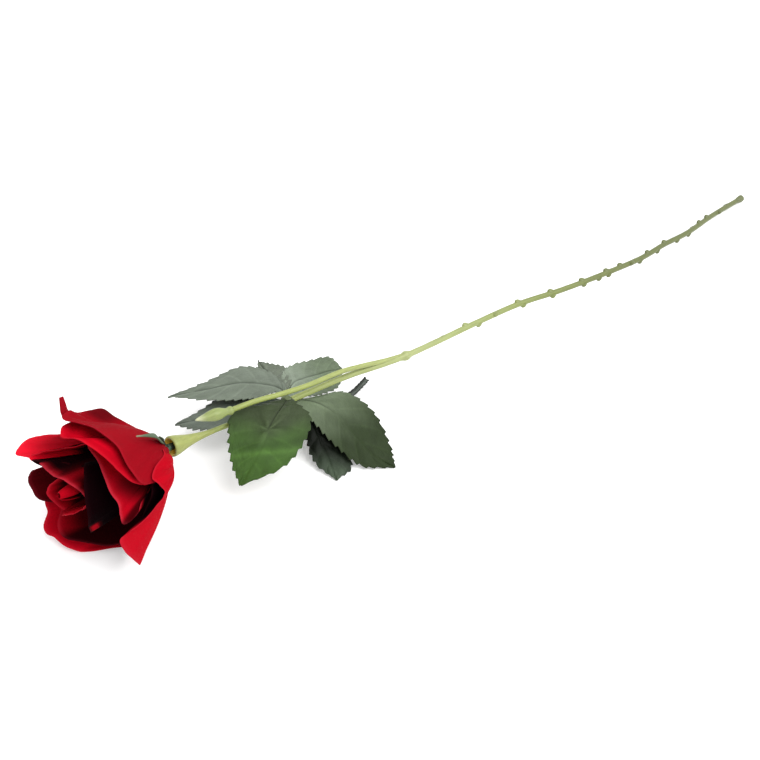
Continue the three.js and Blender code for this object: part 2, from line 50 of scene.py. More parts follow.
# The lowest that a blade's middle and the plastic go, just clear of the floor.
CLOTH_FLOOR = 3.4
PLASTIC_FLOOR = 3.1

# The stem's middle line, from the socket's mouth to past the cut end.
STEM_ROUTE = [
    [0, 0, 41], [23.1, -1.9, 39.6], [78.8, -4.6, 36.1], [127.4, -5.6, 33], [174.6, -10.6, 30.1],
    [245.5, -9, 25.6], [285.2, -9.2, 23.1], [322.3, -13.8, 20.8], [363.2, -16.6, 18.2], [408.4, -17.8, 15.4],
    [441.9, -14.3, 13.3], [474.5, -12.6, 11.2], [515.2, -5.8, 8.4], [562.5, -0.6, 5.45], [568.5, 0.1, 5.1],
]
STEM_RADIUS = 2.05
NECK_RADIUS = 1.6
NECK_START = 20.0
LEAF_STOP = 85.0
STEM_END = 562.4
WIRE_BORE_RADIUS = 0.95
# The side shoot, from the fork to the foot of its closed bud.
SHOOT_ROUTE = [
    [181, -10.4, 29.7], [160, -9.2, 32.9], [140, -7.7, 37], [122, -7.2, 40.5], [97, -8.7, 44],
    [77, -8.3, 47], [58, -6.3, 49.6], [39, -5.4, 51.2],
]
SHOOT_RADIUS = 1.65
BUD_TIP = [18.4, -1.8, 53]
# Profile points are a radius and a distance along the turned piece.
BUD_PROFILE = [
    [1.6, -3], [2.3, -2.2], [2.75, -1], [2.45, 0.3], [2.2, 1.5], [2.7, 3.4], [3.35, 6], [3.6, 9], [3.1, 12],
    [2.3, 15], [1.5, 18], [0.8, 20.3], [0.05, 21.7],
]
THORN_PROFILE = [[2.1, 0], [1.8, 1.0], [1.4, 1.7], [1.1, 2.3], [0.8, 2.7], [0.5, 2.85], [0.03, 2.9]]
THORN_STRETCH = 1.7
THORN_SINK = 1.2
THORN_LEAN = -0.18
# Each thorn's x on the stem and its degrees round it.
THORNS = [
    [210, 118], [232, 31], [244, 205], [260, -60], [284, 31], [288, 211], [314, 25], [315, 215], [329, 120],
    [345, 31], [346, 211], [362, 205], [371, 36], [372, 216], [386, 31], [397, -62], [408, 205], [419, 31],
    [432, 211], [443, 31], [459, 205], [475, 205], [484, 112], [494, 31], [507, 31], [525, -65], [541, 105],
]
FORK_X = 175.0
FORK_SWELLING = 1.3
COLLAR_LENGTH = 9
COLLAR_FLARE = 0.9
SOCKET_PROFILE = [
    [0.05, 12], [2.7, 12], [3.0, 9], [3.4, 6], [4.2, 2.6], [4.9, 0.7], [5.25, 0.15], [5.6, 0], [6.0, 0.05],
    [6.35, 0.5], [6.45, 1.2], [6.1, 3.5], [5.4, 6], [4.6, 8.7], [3.8, 11.6], [3.2, 14.5], [2.6, 18],
    [2.1, 22], [1.75, 26], [1.6, 29],
]
# How many of the socket's profile points are inside its rim.
SOCKET_INSIDE = 7
# The socket's mouth is cut at a slant, its low far side further forward.
SLANT_SIDE = np.array([-0.02, -0.74, 0.67])
SLANT_DEGREES = 11

BLOOM_BASE = np.array([-3, -0.3, 41.4])
BLOOM_AZIMUTH = -173
BLOOM_ELEVATION = 9.5
PETAL_ROOT_RADIUS = 3.1
PETAL_FOOT = 0.5
# The core, with a cup of lining at the petals' roots.
CORE_PROFILE = [
    [2.6, 2.2], [5.5, 4], [8.5, 6.6], [12, 10.5], [14, 14], [15, 18], [13, 18.5], [8, 14], [6.6, 20],
    [6.6, 30], [6.4, 52], [6.2, 58], [4.5, 61.5], [0.05, 62],
]
# The petals, from outside in. A rim point is a turn in degrees round the bloom's axis, a radius and a height
# along the axis. The cup is a radius and a height at the petal's shoulder and at its belly, base is the
# height of its root, flat draws it in by a share that grows between two turns, and spread says how late
# each half widens from its foot.
PETALS = [
    {"name": "front", "cup": [[14, 8], [37, 38]], "base": 3.4, "flat": [-30, 10, 0.3],
     "spread": [1.3, 1.2], "rim": [
        [-78, 26, 24], [-73, 31, 33.4], [-70, 34, 40], [-64, 37, 47.1], [-58, 39.5, 52.6], [-51, 40.5, 56],
        [-43, 41, 58.9], [-35, 41, 61.3], [-21, 40, 64], [-11, 38.5, 66.6], [0, 36.2, 69.8], [8, 36.5, 68],
        [14, 37.8, 64], [18, 37.5, 56]]},
    {"name": "top", "cup": [[15, 7], [34, 30]], "base": 1.8, "flat": [0, 25, 0.45],
     "spread": [1.3, 1.2], "rim": [
        [-76, 27, 24], [-71, 34, 36], [-65, 40, 45.5], [-59, 42, 49.3], [-51, 43, 51.8], [-41, 43.5, 52.6],
        [-32, 43.5, 52.7], [-18, 42.5, 55.4], [-5, 41.5, 57], [3, 41.5, 60.6], [9, 43, 64.7],
        [14, 43.7, 63.1], [19, 43.5, 56.5], [25, 39.5, 50], [30, 37.6, 40], [36, 35, 29], [41, 27, 23],
        [46, 21, 20], [50, 18, 18]]},
    {"name": "far", "cup": [[14, 5], [31, 30]], "base": 1.5, "spread": [1.2, 0.5], "rim": [
        [30, 25, 33], [50, 30, 55], [68, 38, 60], [83, 47, 64], [95, 52, 67], [101, 50, 58.5],
        [112, 42, 46], [124, 30, 28]]},
    {"name": "low", "cup": [[18, 2], [44, 25]], "base": 2.4, "spread": [0.5, 1.2], "rim": [
        [106, 32, 30], [126, 39, 59], [141, 42.5, 63], [149, 48.5, 67], [158, 45, 66], [168, 44.8, 64.5],
        [176, 46, 60.5], [184, 47.8, 52.5], [192, 47.3, 42], [206, 38, 31]]},
    {"name": "near", "cup": [[15, 3.4], [34.2, 21.3]], "base": 2.4, "spread": [1.2, 1.2], "rim": [
        [190, 34, 22], [204, 42.2, 37], [214, 47.6, 45], [226, 49.5, 49.5], [236, 53.3, 53.5],
        [246, 51.5, 60], [256, 49, 66], [266, 46.5, 68], [267, 44, 55.7], [269, 42, 46.3],
        [272, 40, 39.3], [275, 38.5, 33.3], [279, 37.5, 31.6], [287, 37, 34.5], [294, 36.5, 37],
        [299, 35, 33.5], [301, 33, 29.8], [305, 26, 19.2], [312, 20, 15]]},
    {"name": "near_second", "cup": [[14, 7], [29, 34]], "base": 4.6, "spread": [1.6, 1.2], "rim": [
        [-84, 28, 34], [-88, 32, 42], [-96, 34.5, 46], [-100, 35.5, 52.3], [-98, 35.5, 57.6],
        [-90, 34, 57.9], [-78, 32.7, 58], [-63, 31, 60.6], [-43, 30, 59.7], [-29, 29, 58.2],
        [-10, 28, 57], [10, 25, 50]]},
    {"name": "far_second", "cup": [[12, 6], [26, 34]], "base": 5.4, "spread": [1.2, 1.2], "rim": [
        [26, 21, 47], [45, 21, 50], [62, 24, 53], [75, 29.5, 57.5], [84, 36, 62.5], [91, 40, 65.5],
        [98, 35, 60], [108, 30, 50]]},
    {"name": "left_second", "cup": [[14, 6], [35, 32]], "base": 4.6, "spread": [1.2, 1.2], "rim": [
        [84, 24, 60], [92, 28.5, 65.5], [99, 34, 69], [108, 37, 70], [117, 37, 69], [128, 37, 66.5],
        [140, 34, 56]]},
    {"name": "low_second", "cup": [[16, 6], [38, 32]], "base": 5.8, "spread": [1.2, 1.2], "rim": [
        [142, 31, 58], [158, 35, 66], [170, 37, 66], [180, 37.8, 60.6], [190, 38.5, 55.5],
        [202, 40, 49], [212, 38, 40]]},
    {"name": "hollow", "cup": [[14.6, 4.8], [32.6, 23.8]], "base": 3.6, "spread": [1.2, 1.2], "rim": [
        [-140, 38, 52], [-120, 37.5, 50], [-108, 36.5, 47], [-97, 35.5, 43.5], [-86, 34.5, 38.5],
        [-78, 33.5, 36], [-66, 31, 32]]},
    {"name": "near_inner", "cup": [[12, 9], [24, 36]], "base": 7.5, "spread": [1.2, 1.2], "rim": [
        [-142, 25, 64], [-126, 22, 67], [-107, 21, 68.9], [-78, 20, 69.6], [-55, 19.5, 68.2],
        [-40, 19, 65.5], [-21, 19, 61.6], [-6, 16, 57]]},
    {"name": "fold_outer", "cup": [[10, 10], [18, 36]], "base": 8.5, "spread": [1.2, 1.2], "rim": [
        [34, 9.5, 54], [58, 12, 56], [72, 19, 60], [81, 27, 64.5], [87, 34.5, 67.5], [94, 31, 63],
        [102, 26, 57]]},
    {"name": "fold_inner", "cup": [[9, 12], [13, 40]], "base": 9.5, "spread": [1.2, 1.2], "rim": [
        [-85, 11.5, 64], [-58, 10, 66], [-28, 9.5, 69], [10, 9, 70], [48, 10.5, 70.5], [70, 17, 69.5],
        [78, 26, 68.5]]},
    {"name": "ring", "cup": [[10, 12], [17, 40]], "base": 10.5, "spread": [1.2, 1.2], "rim": [
        [82, 11, 66], [100, 14, 69.5], [118, 17, 71], [138, 18, 68.5], [160, 17.5, 66]]},
    {"name": "low_inner", "cup": [[10, 13], [18, 42]], "base": 11.5, "spread": [1.2, 1.2], "rim": [
        [158, 21, 66], [168, 17, 69.5], [182, 13.5, 70.5], [202, 12, 69.5], [226, 11.5, 66], [252, 12.5, 66],
        [268, 14.5, 64]]},
]
# The top petal's twisted tip: a radius and two heights at each point.
HORN = [[42, 54.5, 61], [45, 57, 61.3], [49, 57.5, 60.8], [53, 57.9, 60.4]]
HORN_DEGREES = 18
HORN_TWIST = 1.2
# The furled eye at the bloom's heart.
EYE_TURNS, EYE_START = 1.3, 100
EYE_BASE, EYE_HEIGHT, EYE_DROP = 57, 17, 2.2
EYE_RADIUS, EYE_WIDENING = 1.7, 3.1
EYE_THICKNESS = 0.6

# A sepal's path is a radius and a height at each point, and SEPALS has its degrees round the bloom.
RAISED_SEPAL = [[1.6, -1.1], [5.5, 1.6], [12, 7], [21, 13.5], [31, 21.5], [41, 37]]
LOW_SEPAL = [[1.6, -1.1], [7.3, 0.2], [12, 1.7], [16.8, 4.1], [21.5, 7.2]]
SHORT_SEPAL = [[1.6, -1.1], [4.4, -0.6], [6.4, 0], [8.2, 0.6]]
SEPALS = [[-30, RAISED_SEPAL], [42, SHORT_SEPAL], [114, LOW_SEPAL], [186, LOW_SEPAL]]
SEPAL_HALF_WIDTH = 2.1
SEPAL_THICKNESS = 0.7
CALYX_PROFILE = [
    [0.05, -2.4], [1.7, -2.4], [2.1, -2.2], [2.2, -1.8], [2.2, 22.5], [1.4, 23.4], [0.05, 23.4],
]
PEG_RADIUS = 2.15
PEG_DEPTH = 9.5
PEG_JOINT = 2.4

HUB_X = 81.5
# The leaves' sleeve round the stem: a distance from its middle and a radius at each point.
HUB_RING = [[-2.2, 2.05], [-2.15, 3.3], [-1.6, 3.8], [0, 3.9], [1.6, 3.8], [2.15, 3.3], [2.2, 2.05]]
LEAF_ROOT_RADIUS = 3.0
LEAF_STALK = 0.12
LEAF_END = 0.05
# A leaf's root is in degrees round the stem. Its rib and its left and right edges run from root to tip.
LEAVES = [
    {"name": "far_long", "root": 8,
     "rib": [[87.9, 10.2, 34], [82.7, 23.8, 32.5], [72.5, 36.8, 30.5], [55.6, 46.8, 28], [33.2, 58.7, 26]],
     "left": [[93.5, 14.6, 33], [95.5, 35.2, 30], [86.1, 52.9, 28], [58.3, 56.3, 26.5]],
     "right": [[82.8, 8.5, 34], [71.8, 12.8, 33], [60.7, 21.2, 31.5], [45.5, 37.4, 29]]},
    {"name": "far_low", "root": -28,
     "rib": [[77, 9.6, 29], [63.7, 16.2, 27], [51, 23.7, 24], [38.9, 32.1, 21], [26.2, 40.8, 18]],
     "left": [[79.9, 15.9, 28.5], [70.9, 28.9, 26], [59.4, 39.4, 23], [43.7, 40.8, 20]],
     "right": [[71.6, 4.2, 29.5], [53.6, 7.1, 27.5], [38.6, 13, 24.5], [30, 26.5, 20]]},
    {"name": "far_short", "root": 30,
     "rib": [[94, 17.8, 30], [95.4, 27.6, 27.5], [97.4, 37.9, 25], [100.2, 48.3, 22.5], [103.7, 58.8, 20]],
     "left": [[102.2, 18.1, 29], [108.8, 27.2, 26.5], [111.7, 38, 23.5], [107.8, 49.8, 21.5]],
     "right": [[89.4, 16.8, 30.5], [88.3, 26.5, 28.5], [91.8, 39.6, 25.5], [98.5, 52.8, 22]]},
    {"name": "far_stem", "root": -55,
     "rib": [[99.7, 14.7, 29], [111.2, 18.3, 26], [122.7, 18.4, 23.5], [134.5, 18.5, 21], [142.2, 15.4, 19]],
     "left": [[100.3, 27.7, 27.5], [112.1, 36.2, 25], [128.3, 35.6, 22.5], [144, 31.9, 20]],
     "right": [[94.9, 3.9, 29], [102.7, -0.4, 26], [113.5, -2.1, 23.5], [127.6, 1.2, 20.5]]},
    {"name": "near_left", "root": 118,
     "rib": [[65.3, -17.4, 42.5], [54.5, -23.9, 41.5], [45, -29.8, 38], [35.3, -33.5, 31],
             [24.6, -34.6, 20]],
     "left": [[62.9, -5.2, 44], [45, 1, 44], [30.7, -13.7, 40], [24.3, -25.4, 31]],
     "right": [[84.7, -11.3, 38], [86, -24.8, 33], [69.7, -38.5, 30], [50.4, -43.3, 25]]},
    {"name": "near_right", "root": 195,
     "rib": [[95.1, -5.5, 31], [106.4, -14.3, 24], [109.2, -33, 17.5], [110.4, -53.3, 9.5],
             [116.9, -67.9, 4.1]],
     "left": [[105.7, -4.9, 28], [127.8, -5.9, 21], [133.6, -27.4, 15], [125.9, -54, 8]],
     "right": [[86.5, -11.6, 30], [89.9, -20.1, 23], [93.2, -36.8, 14], [99.3, -55.9, 6]]},
    {"name": "near_low", "root": 232,
     "rib": [[91.6, -9.8, 27], [91.3, -19.2, 20], [89.3, -29.6, 13], [86.2, -41.5, 7], [81.7, -53.5, 4.1]],
     "left": [[96.8, -12.1, 24], [103.5, -22.8, 14], [102.6, -39, 8.5], [95.9, -52.2, 4.6]],
     "right": [[88, -9.4, 27], [85.6, -16.2, 19.5], [81, -23.9, 13], [77.9, -36.9, 7]]},
    {"name": "rolled", "root": 262, "end": 1,
     "rib": [[100.3, -3.5, 25], [120, -2.9, 16], [135.1, 0.4, 10], [148.7, 5.5, 8], [158.4, 9.9, 7]],
     "left": [[101, -1.4, 25], [120.6, 0, 16], [134.7, 2.6, 10.8], [148.2, 7.5, 8.8]],
     "right": [[99.5, -5.5, 25], [119.4, -5.7, 16], [135.2, -2.1, 9.3], [149.3, 3.6, 7.2]]},
]

# ---------------------------------------------------------------- small helpers


def srgb(red, green, blue):
    """A linear colour from 0 to 255 values."""
    values = np.array([red, green, blue]) / 255
    return np.where(values <= 0.04045, values / 12.92, ((values + 0.055) / 1.055) ** 2.4)


def through(points, t):
    """Uniform Catmull-Rom through points of any dimension, at each t from 0 to 1."""
    points = np.array(points, float)
    ends = [2 * points[0] - points[1], 2 * points[-1] - points[-2]]
    padded = np.vstack([ends[0], points, ends[1]])
    place = np.clip(np.atleast_1d(t), 0, 1) * (len(points) - 1)
    i = np.minimum(place.astype(int), len(points) - 2)
    f = (place - i)[:, None]
    a, b, c, d = padded[i], padded[i + 1], padded[i + 2], padded[i + 3]
    return b + 0.5 * f * (c - a + f * (2 * a - 5 * b + 4 * c - d + f * (3 * (b - c) + d - a)))


def unit(vectors):
    return vectors / np.maximum(np.linalg.norm(vectors, axis=-1, keepdims=True), 1e-9)


def step(low, high, x):
    """0 up to low, 1 from high on, and smooth between them."""
    s = np.clip((x - low) / (high - low), 0, 1)
    return s * s * (3 - 2 * s)


def ripple(u, v, seed, count=5):
    """A smooth uneven value from about -1 to 1."""
    rng = np.random.default_rng(seed)
    total = np.zeros(np.broadcast(u, v).shape)
    for _ in range(count):
        a, b = rng.uniform(2, 9), rng.uniform(1, 5)
        total += np.sin(a * u + b * v + rng.uniform(0, 6.28)) * rng.uniform(0.4, 1)
    return total / count


def normals(grid):
    """The direction square to a grid's surface at each point."""
    return unit(np.cross(np.gradient(grid, axis=1), np.gradient(grid, axis=0)))


STEM_STEPS = np.linspace(0, 1, 3000)
STEM_LINE = through(STEM_ROUTE, STEM_STEPS)


def stem_at(x):
    """Points of the stem's middle line at each x."""
    return through(STEM_ROUTE, np.interp(np.atleast_1d(x), STEM_LINE[:, 0], STEM_STEPS))


def bloom_directions():
    """The bloom's upward, sideways and lengthways directions."""
    azimuth, elevation = math.radians(BLOOM_AZIMUTH), math.radians(BLOOM_ELEVATION)
    axis = np.array([math.cos(elevation) * math.cos(azimuth), math.cos(elevation) * math.sin(azimuth),
                     math.sin(elevation)])
    up = unit(np.array([0, 0, 1]) - axis[2] * axis)
    return up, np.cross(axis, up), axis


BLOOM_UP, BLOOM_SIDE, BLOOM_AXIS = bloom_directions()


def bloom_point(degrees, radius, height):
    """Points at a turn round the bloom's axis, a radius from it and a height along it."""
    angle, radius, height = np.broadcast_arrays(np.radians(degrees), radius, height)
    return (BLOOM_BASE + (radius * np.cos(angle))[..., None] * BLOOM_UP
            + (radius * np.sin(angle))[..., None] * BLOOM_SIDE + height[..., None] * BLOOM_AXIS)


# Tints are set as they look in the studio's light, and this makes them the cloth's and plastic's own.
SHADE = 0.7


def make_piece(name, grids, material, node):
    """One mesh object from grids of points, each (points, tint, uv), in millimetres.

    Each grid's last column joins its first.
    """
    verts, faces, tints, uvs = [], [], [], []
    for points, tint, uv in grids:
        rows, columns = points.shape[:2]
        start = len(verts)
        verts.extend(((points + ORIGIN_SHIFT) * MM).reshape(-1, 3).tolist())
        tints.extend((np.broadcast_to(tint, (rows, columns, 3)) * SHADE).reshape(-1, 3).tolist())
        uvs.extend(np.asarray(uv).reshape(-1, 2).tolist())
        for i in range(rows - 1):
            for j in range(columns):
                k = (j + 1) % columns
                faces.append((start + i * columns + j, start + i * columns + k,
                              start + (i + 1) * columns + k, start + (i + 1) * columns + j))
    mesh = bpy.data.meshes.new(name)
    mesh.from_pydata(verts, [], faces)
    mesh.shade_smooth()
    colours = mesh.color_attributes.new("tint", "FLOAT_COLOR", "POINT")
    colours.data.foreach_set("color", np.c_[np.array(tints), np.ones(len(tints))].ravel())
    layer = mesh.uv_layers.new(name="UVMap")
    corner = np.zeros(len(mesh.loops), int)
    mesh.loops.foreach_get("vertex_index", corner)
    layer.data.foreach_set("uv", np.array(uvs)[corner].ravel())
    mesh.materials.append(material)
    obj = bpy.data.objects.new(name, mesh)
    bpy.context.scene.collection.objects.link(obj)
    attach(obj, "root")
    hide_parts(node)


def flat_uv(grid):
    """Distances along and across a grid in millimetres, for the weave."""
    along = np.cumsum(np.linalg.norm(np.diff(grid, axis=0, prepend=grid[:1]), axis=-1), axis=0)
    across = np.cumsum(np.linalg.norm(np.diff(grid, axis=1, prepend=grid[:, :1]), axis=-1), axis=1)
    middle = across[:, across.shape[1] // 2][:, None]
    return np.stack([across - middle, along], axis=-1)


def coloured(grid, tint):
    """A grid in one tint or a tint for each point, as make_piece takes it."""
    return grid, tint, flat_uv(grid)


def sheet(grid, thickness, outer, inner):
    """A thin blade as one closed grid: its outer face and its inner face, which meet in a round rim."""
    normal = normals(grid)
    rim = grid[-1:] + 0.5 * thickness * unit(grid[-1:] - grid[-2:-1])
    faces = [np.concatenate([grid + side * 0.5 * thickness * normal, rim]) for side in (1, -1)]
    tints = [np.broadcast_to(tint, grid.shape) for tint in (outer, inner)]
    tints = [np.concatenate([tint, tint[-1:]]) for tint in tints]
    uv = flat_uv(grid)
    uv = np.concatenate([uv, uv[-1:]])
    return (np.concatenate([faces[0], faces[1][:, ::-1]], axis=1),
            np.concatenate([tints[0], tints[1][:, ::-1]], axis=1), np.concatenate([uv, uv[:, ::-1]], axis=1))


def tube(centres, radii, sides):
    """A grid round a line of points; radii is one value, one per row or a whole grid."""
    forward = unit(np.gradient(centres, axis=0))
    first = unit(np.array([0, 0, 1.0]) - forward * forward[:, 2:])
    second = np.cross(forward, first)
    angle = np.linspace(0, 2 * math.pi, sides, endpoint=False)
    radii = np.asarray(radii, float)
    if radii.ndim == 1:
        radii = radii[:, None]
    ring = np.cos(angle)[:, None] * first[:, None] + np.sin(angle)[:, None] * second[:, None]
    return centres[:, None] + np.broadcast_to(radii, (len(centres), sides))[..., None] * ring


def turned(profile, origin, direction, sides, smooth=4, wobble=None):
    """A turned grid: profile points are radius and distance along a direction from an origin."""
    profile = np.array(profile, float)
    if smooth > 1:
        profile = through(profile, np.linspace(0, 1, (len(profile) - 1) * smooth + 1))
    radius = np.maximum(profile[:, :1], 0.02) * np.ones((1, sides))
    angle = np.linspace(0, 2 * math.pi, sides, endpoint=False)
    if wobble:
        radius = radius * wobble(angle[None], profile[:, 1:])
    axis = unit(np.array(direction, float))
    helper = np.array([0, 0, 1.0]) if abs(axis[2]) < 0.9 else np.array([1.0, 0, 0])
    first = unit(helper - axis * (axis @ helper))
    second = np.cross(axis, first)
    return (np.array(origin, float) + profile[:, 1][:, None, None] * axis
            + radius[..., None] * (np.cos(angle)[:, None] * first + np.sin(angle)[:, None] * second)[None])


# ---------------------------------------------------------------- materials


def add(tree, kind, inputs=None, **settings):
    """A shader node with its settings, and its inputs set or linked by name or place."""
    node = tree.nodes.new(kind)
    for key, value in settings.items():
        setattr(node, key, value)
    for key, value in (inputs or {}).items():
        if isinstance(value, bpy.types.NodeSocket):
            tree.links.new(value, node.inputs[key])
        else:
            node.inputs[key].default_value = value
    return node


def new_material(name):
    material = bpy.data.materials.new(name)
    material.use_nodes = True
    material.node_tree.nodes.clear()
    return material, material.node_tree


def scaled(tree, vector, scale):
    return add(tree, "ShaderNodeMapping", {"Vector": vector, "Scale": scale}).outputs[0]


def weave_height(tree, uv, pitch):
    """Threads over and under each other at a pitch in millimetres."""
    scale = 0.314 / pitch
    warp = add(tree, "ShaderNodeTexWave", {"Vector": uv, "Scale": scale, "Distortion": 0.4},
               wave_type="BANDS", bands_direction="X").outputs["Fac"]
    weft = add(tree, "ShaderNodeTexWave", {"Vector": uv, "Scale": scale, "Distortion": 0.4},
               wave_type="BANDS", bands_direction="Y").outputs["Fac"]
    return add(tree, "ShaderNodeMath", {0: warp, 1: weft}, operation="MULTIPLY").outputs[0]


def cloth_material(name, pitch, crease_scale, crease_depth, mottle, roughness, specular):
    """Woven cloth in the mesh's tint, which holds painted light and shade, with threads, creases and cloudy
    patches.
    """
    material, tree = new_material(name)
    uv = add(tree, "ShaderNodeTexCoord").outputs["UV"]
    tint = add(tree, "ShaderNodeAttribute", attribute_name="tint").outputs["Color"]
    cloud = add(tree, "ShaderNodeTexNoise", {"Vector": scaled(tree, uv, (0.09, 0.06, 1)), "Scale": 1.0,
                                             "Detail": 5.0, "Roughness": 0.6}).outputs["Fac"]
    threads = weave_height(tree, uv, pitch)
    creases = add(tree, "ShaderNodeTexNoise", {"Vector": scaled(tree, uv, crease_scale), "Scale": 1.0,
                                               "Detail": 4.0, "Roughness": 0.55}).outputs["Fac"]
    light = add(tree, "ShaderNodeMapRange", {"Value": cloud, "From Min": 0.3, "From Max": 0.7,
                                             "To Min": 1 - mottle, "To Max": 1 + mottle}).outputs[0]
    grain = add(tree, "ShaderNodeMapRange", {"Value": threads, "To Min": 0.9, "To Max": 1.06}).outputs[0]
    both = add(tree, "ShaderNodeMath", {0: light, 1: grain}, operation="MULTIPLY").outputs[0]
    colour = add(tree, "ShaderNodeVectorMath", {0: tint, 1: both}, operation="MULTIPLY").outputs[0]
    fine = add(tree, "ShaderNodeBump", {"Height": threads, "Strength": 0.35, "Distance": 0.00008}).outputs[0]
    wide = add(tree, "ShaderNodeBump", {"Height": creases, "Strength": 0.6, "Distance": crease_depth,
                                        "Normal": fine}).outputs[0]
    rough = add(tree, "ShaderNodeMapRange", {"Value": cloud, "To Min": roughness - 0.08,
                                             "To Max": roughness + 0.08}).outputs[0]
    shader = add(tree, "ShaderNodeBsdfPrincipled", {
        "Base Color": colour, "Roughness": rough, "Normal": wide, "Specular IOR Level": specular})
    add(tree, "ShaderNodeOutputMaterial", {"Surface": shader.outputs[0]})
    return material


def plastic_material(name, roughness, streak=(90, 900, 900), mottle=0.12):
    """Moulded plastic in the mesh's tint, which holds painted light and shade, with streaks and a fine
    grain.
    """
    material, tree = new_material(name)
    place = add(tree, "ShaderNodeTexCoord").outputs["Object"]
    tint = add(tree, "ShaderNodeAttribute", attribute_name="tint").outputs["Color"]
    streaks = add(tree, "ShaderNodeTexNoise", {"Vector": scaled(tree, place, streak), "Scale": 1.0,
                                               "Detail": 4.0, "Roughness": 0.6}).outputs["Fac"]
    grain = add(tree, "ShaderNodeTexNoise", {"Vector": place, "Scale": 2600.0, "Detail": 2.0}).outputs["Fac"]
    light = add(tree, "ShaderNodeMapRange", {"Value": streaks, "From Min": 0.3, "From Max": 0.7,
                                             "To Min": 1 - mottle, "To Max": 1 + mottle}).outputs[0]
    colour = add(tree, "ShaderNodeVectorMath", {0: tint, 1: light}, operation="MULTIPLY").outputs[0]
    rough = add(tree, "ShaderNodeMapRange", {"Value": grain, "To Min": roughness - 0.1,
                                             "To Max": roughness + 0.1}).outputs[0]
    wide = add(tree, "ShaderNodeBump", {"Height": streaks, "Strength": 0.3, "Distance": 0.0003}).outputs[0]
    fine = add(tree, "ShaderNodeBump", {"Height": grain, "Strength": 0.2, "Distance": 0.00005,
                                        "Normal": wide}).outputs[0]
    shader = add(tree, "ShaderNodeBsdfPrincipled", {
        "Base Color": colour, "Roughness": rough, "Normal": fine, "Subsurface Weight": 0.08,
        "Subsurface Radius": (0.002, 0.0015, 0.0005), "Specular IOR Level": 0.45})
    add(tree, "ShaderNodeOutputMaterial", {"Surface": shader.outputs[0]})
    return material


def wire_material():
    """Drawn steel, with fine lines along the wire."""
    material, tree = new_material("wire_steel")
    place = add(tree, "ShaderNodeTexCoord").outputs["Object"]
    lines = add(tree, "ShaderNodeTexNoise", {"Vector": scaled(tree, place, (60, 4000, 4000)), "Scale": 1.0,
                                             "Detail": 3.0}).outputs["Fac"]
    ramp = add(tree, "ShaderNodeMapRange", {"Value": lines, "To Min": 0.25, "To Max": 0.45}).outputs[0]
    bump = add(tree, "ShaderNodeBump", {"Height": lines, "Strength": 0.2, "Distance": 0.00003}).outputs[0]
    shader = add(tree, "ShaderNodeBsdfPrincipled", {
        "Base Color": (0.38, 0.37, 0.35, 1), "Metallic": 1.0, "Roughness": ramp, "Normal": bump})
    add(tree, "ShaderNodeOutputMaterial", {"Surface": shader.outputs[0]})
    return material


petal_cloth = cloth_material("petal_cloth", pitch=0.26, crease_scale=(0.13, 0.05, 1), crease_depth=0.0006,
                             mottle=0.05, roughness=0.75, specular=0.02)
leaf_cloth = cloth_material("leaf_cloth", pitch=0.3, crease_scale=(0.2, 0.14, 1), crease_depth=0.0014,
                            mottle=0.18, roughness=0.55, specular=0.12)
stem_plastic = plastic_material("stem_plastic", 0.45)
calyx_plastic = plastic_material("calyx_plastic", 0.5, streak=(500, 500, 500))

# ---------------------------------------------------------------- the bloom

RED = srgb(190, 5, 28)
# A nearly black red, for painted shade deep in the bloom.
DEEP_SHADE_RED = srgb(14, 0, 3)
# A pink for painted highlights on the petals.
HIGHLIGHT_PINK = srgb(216, 60, 78)
# How dark the cloth is made towards a petal's root and how far up that reaches, for its outer and inner
# faces: partly the deeper red inside the bloom, partly painted shade of the bloom's hollows.
PAINTED_SHADE_DEPTHS = {
    "front": ((0.9, 0.92), (1.0, 1.0)), "top": ((0.25, 0.5), (1.0, 1.0)), "far": ((0.5, 0.6), (0.85, 0.52)),
    "low": ((0.4, 1.1), (0.45, 1.2)), "near": ((0.3, 0.5), (1.0, 1.0)),
    "near_second": ((0.5, 0.7), (1.0, 1.02)), "far_second": ((1.0, 1.02), (1.0, 0.8)),
    "left_second": ((0.85, 1.3), (0.85, 1.3)), "low_second": ((0.95, 1.0), (0.85, 1.0)),
    "near_inner": ((1.0, 1.15), (1.0, 1.0)), "fold_outer": ((1.0, 1.3), (1.0, 1.3)),
    "fold_inner": ((1.0, 1.03), (1.0, 1.0)), "ring": ((0.95, 1.0), (0.95, 1.0)),
    "low_inner": ((1.0, 1.03), (0.9, 0.95)), "hollow": ((1.0, 1.4), (1.0, 1.4)),
}
# The turns between which painted shade darkens a low petal towards its near side.
SIDE_SHADE_TURNS = {"low": (186, 200), "low_second": (158, 172)}
# How much a petal's inner face is painted lighter, or below 1 darker, than its outer face: painted light and
# shade for where the inner faces lie.
INNER_PAINTED_LIGHT = {"far": 2.2, "low": 2.2, "low_second": 0.8, "far_second": 2.3}
# How strong the painted pink highlight on a petal's rim is.
USUAL_RIM_HIGHLIGHT = 0.22
RIM_HIGHLIGHT = {"near_inner": 0.03, "hollow": 0.03, "fold_outer": 0.1, "top": 0.1, "front": 0.12,
            "near_second": 0.5, "fold_inner": 0.6}
# How far a petal's rim rolls out, in millimetres.
USUAL_LIP = 0.4
LIPS = {"low": 1.6, "far": 1.2, "near": 1.0, "front": 0.9, "top": 0.8}
# How high the waves at a petal's rim and its fine folds are, in millimetres.
WAVE_HEIGHT, FOLD_HEIGHT = 0.6, 0.3
# The middle and half size of the near inner petal's small bright curl, where its painted shade is left off,
# by turn and by place along the petal.
CURL_TURN, CURL_ALONG = (-133, 7), (0.965, 0.028)
CLOTH_THICKNESS = 0.5
PETAL_ROWS = 44
COLUMNS_PER_POINT = 7
PETAL_SEED = 100


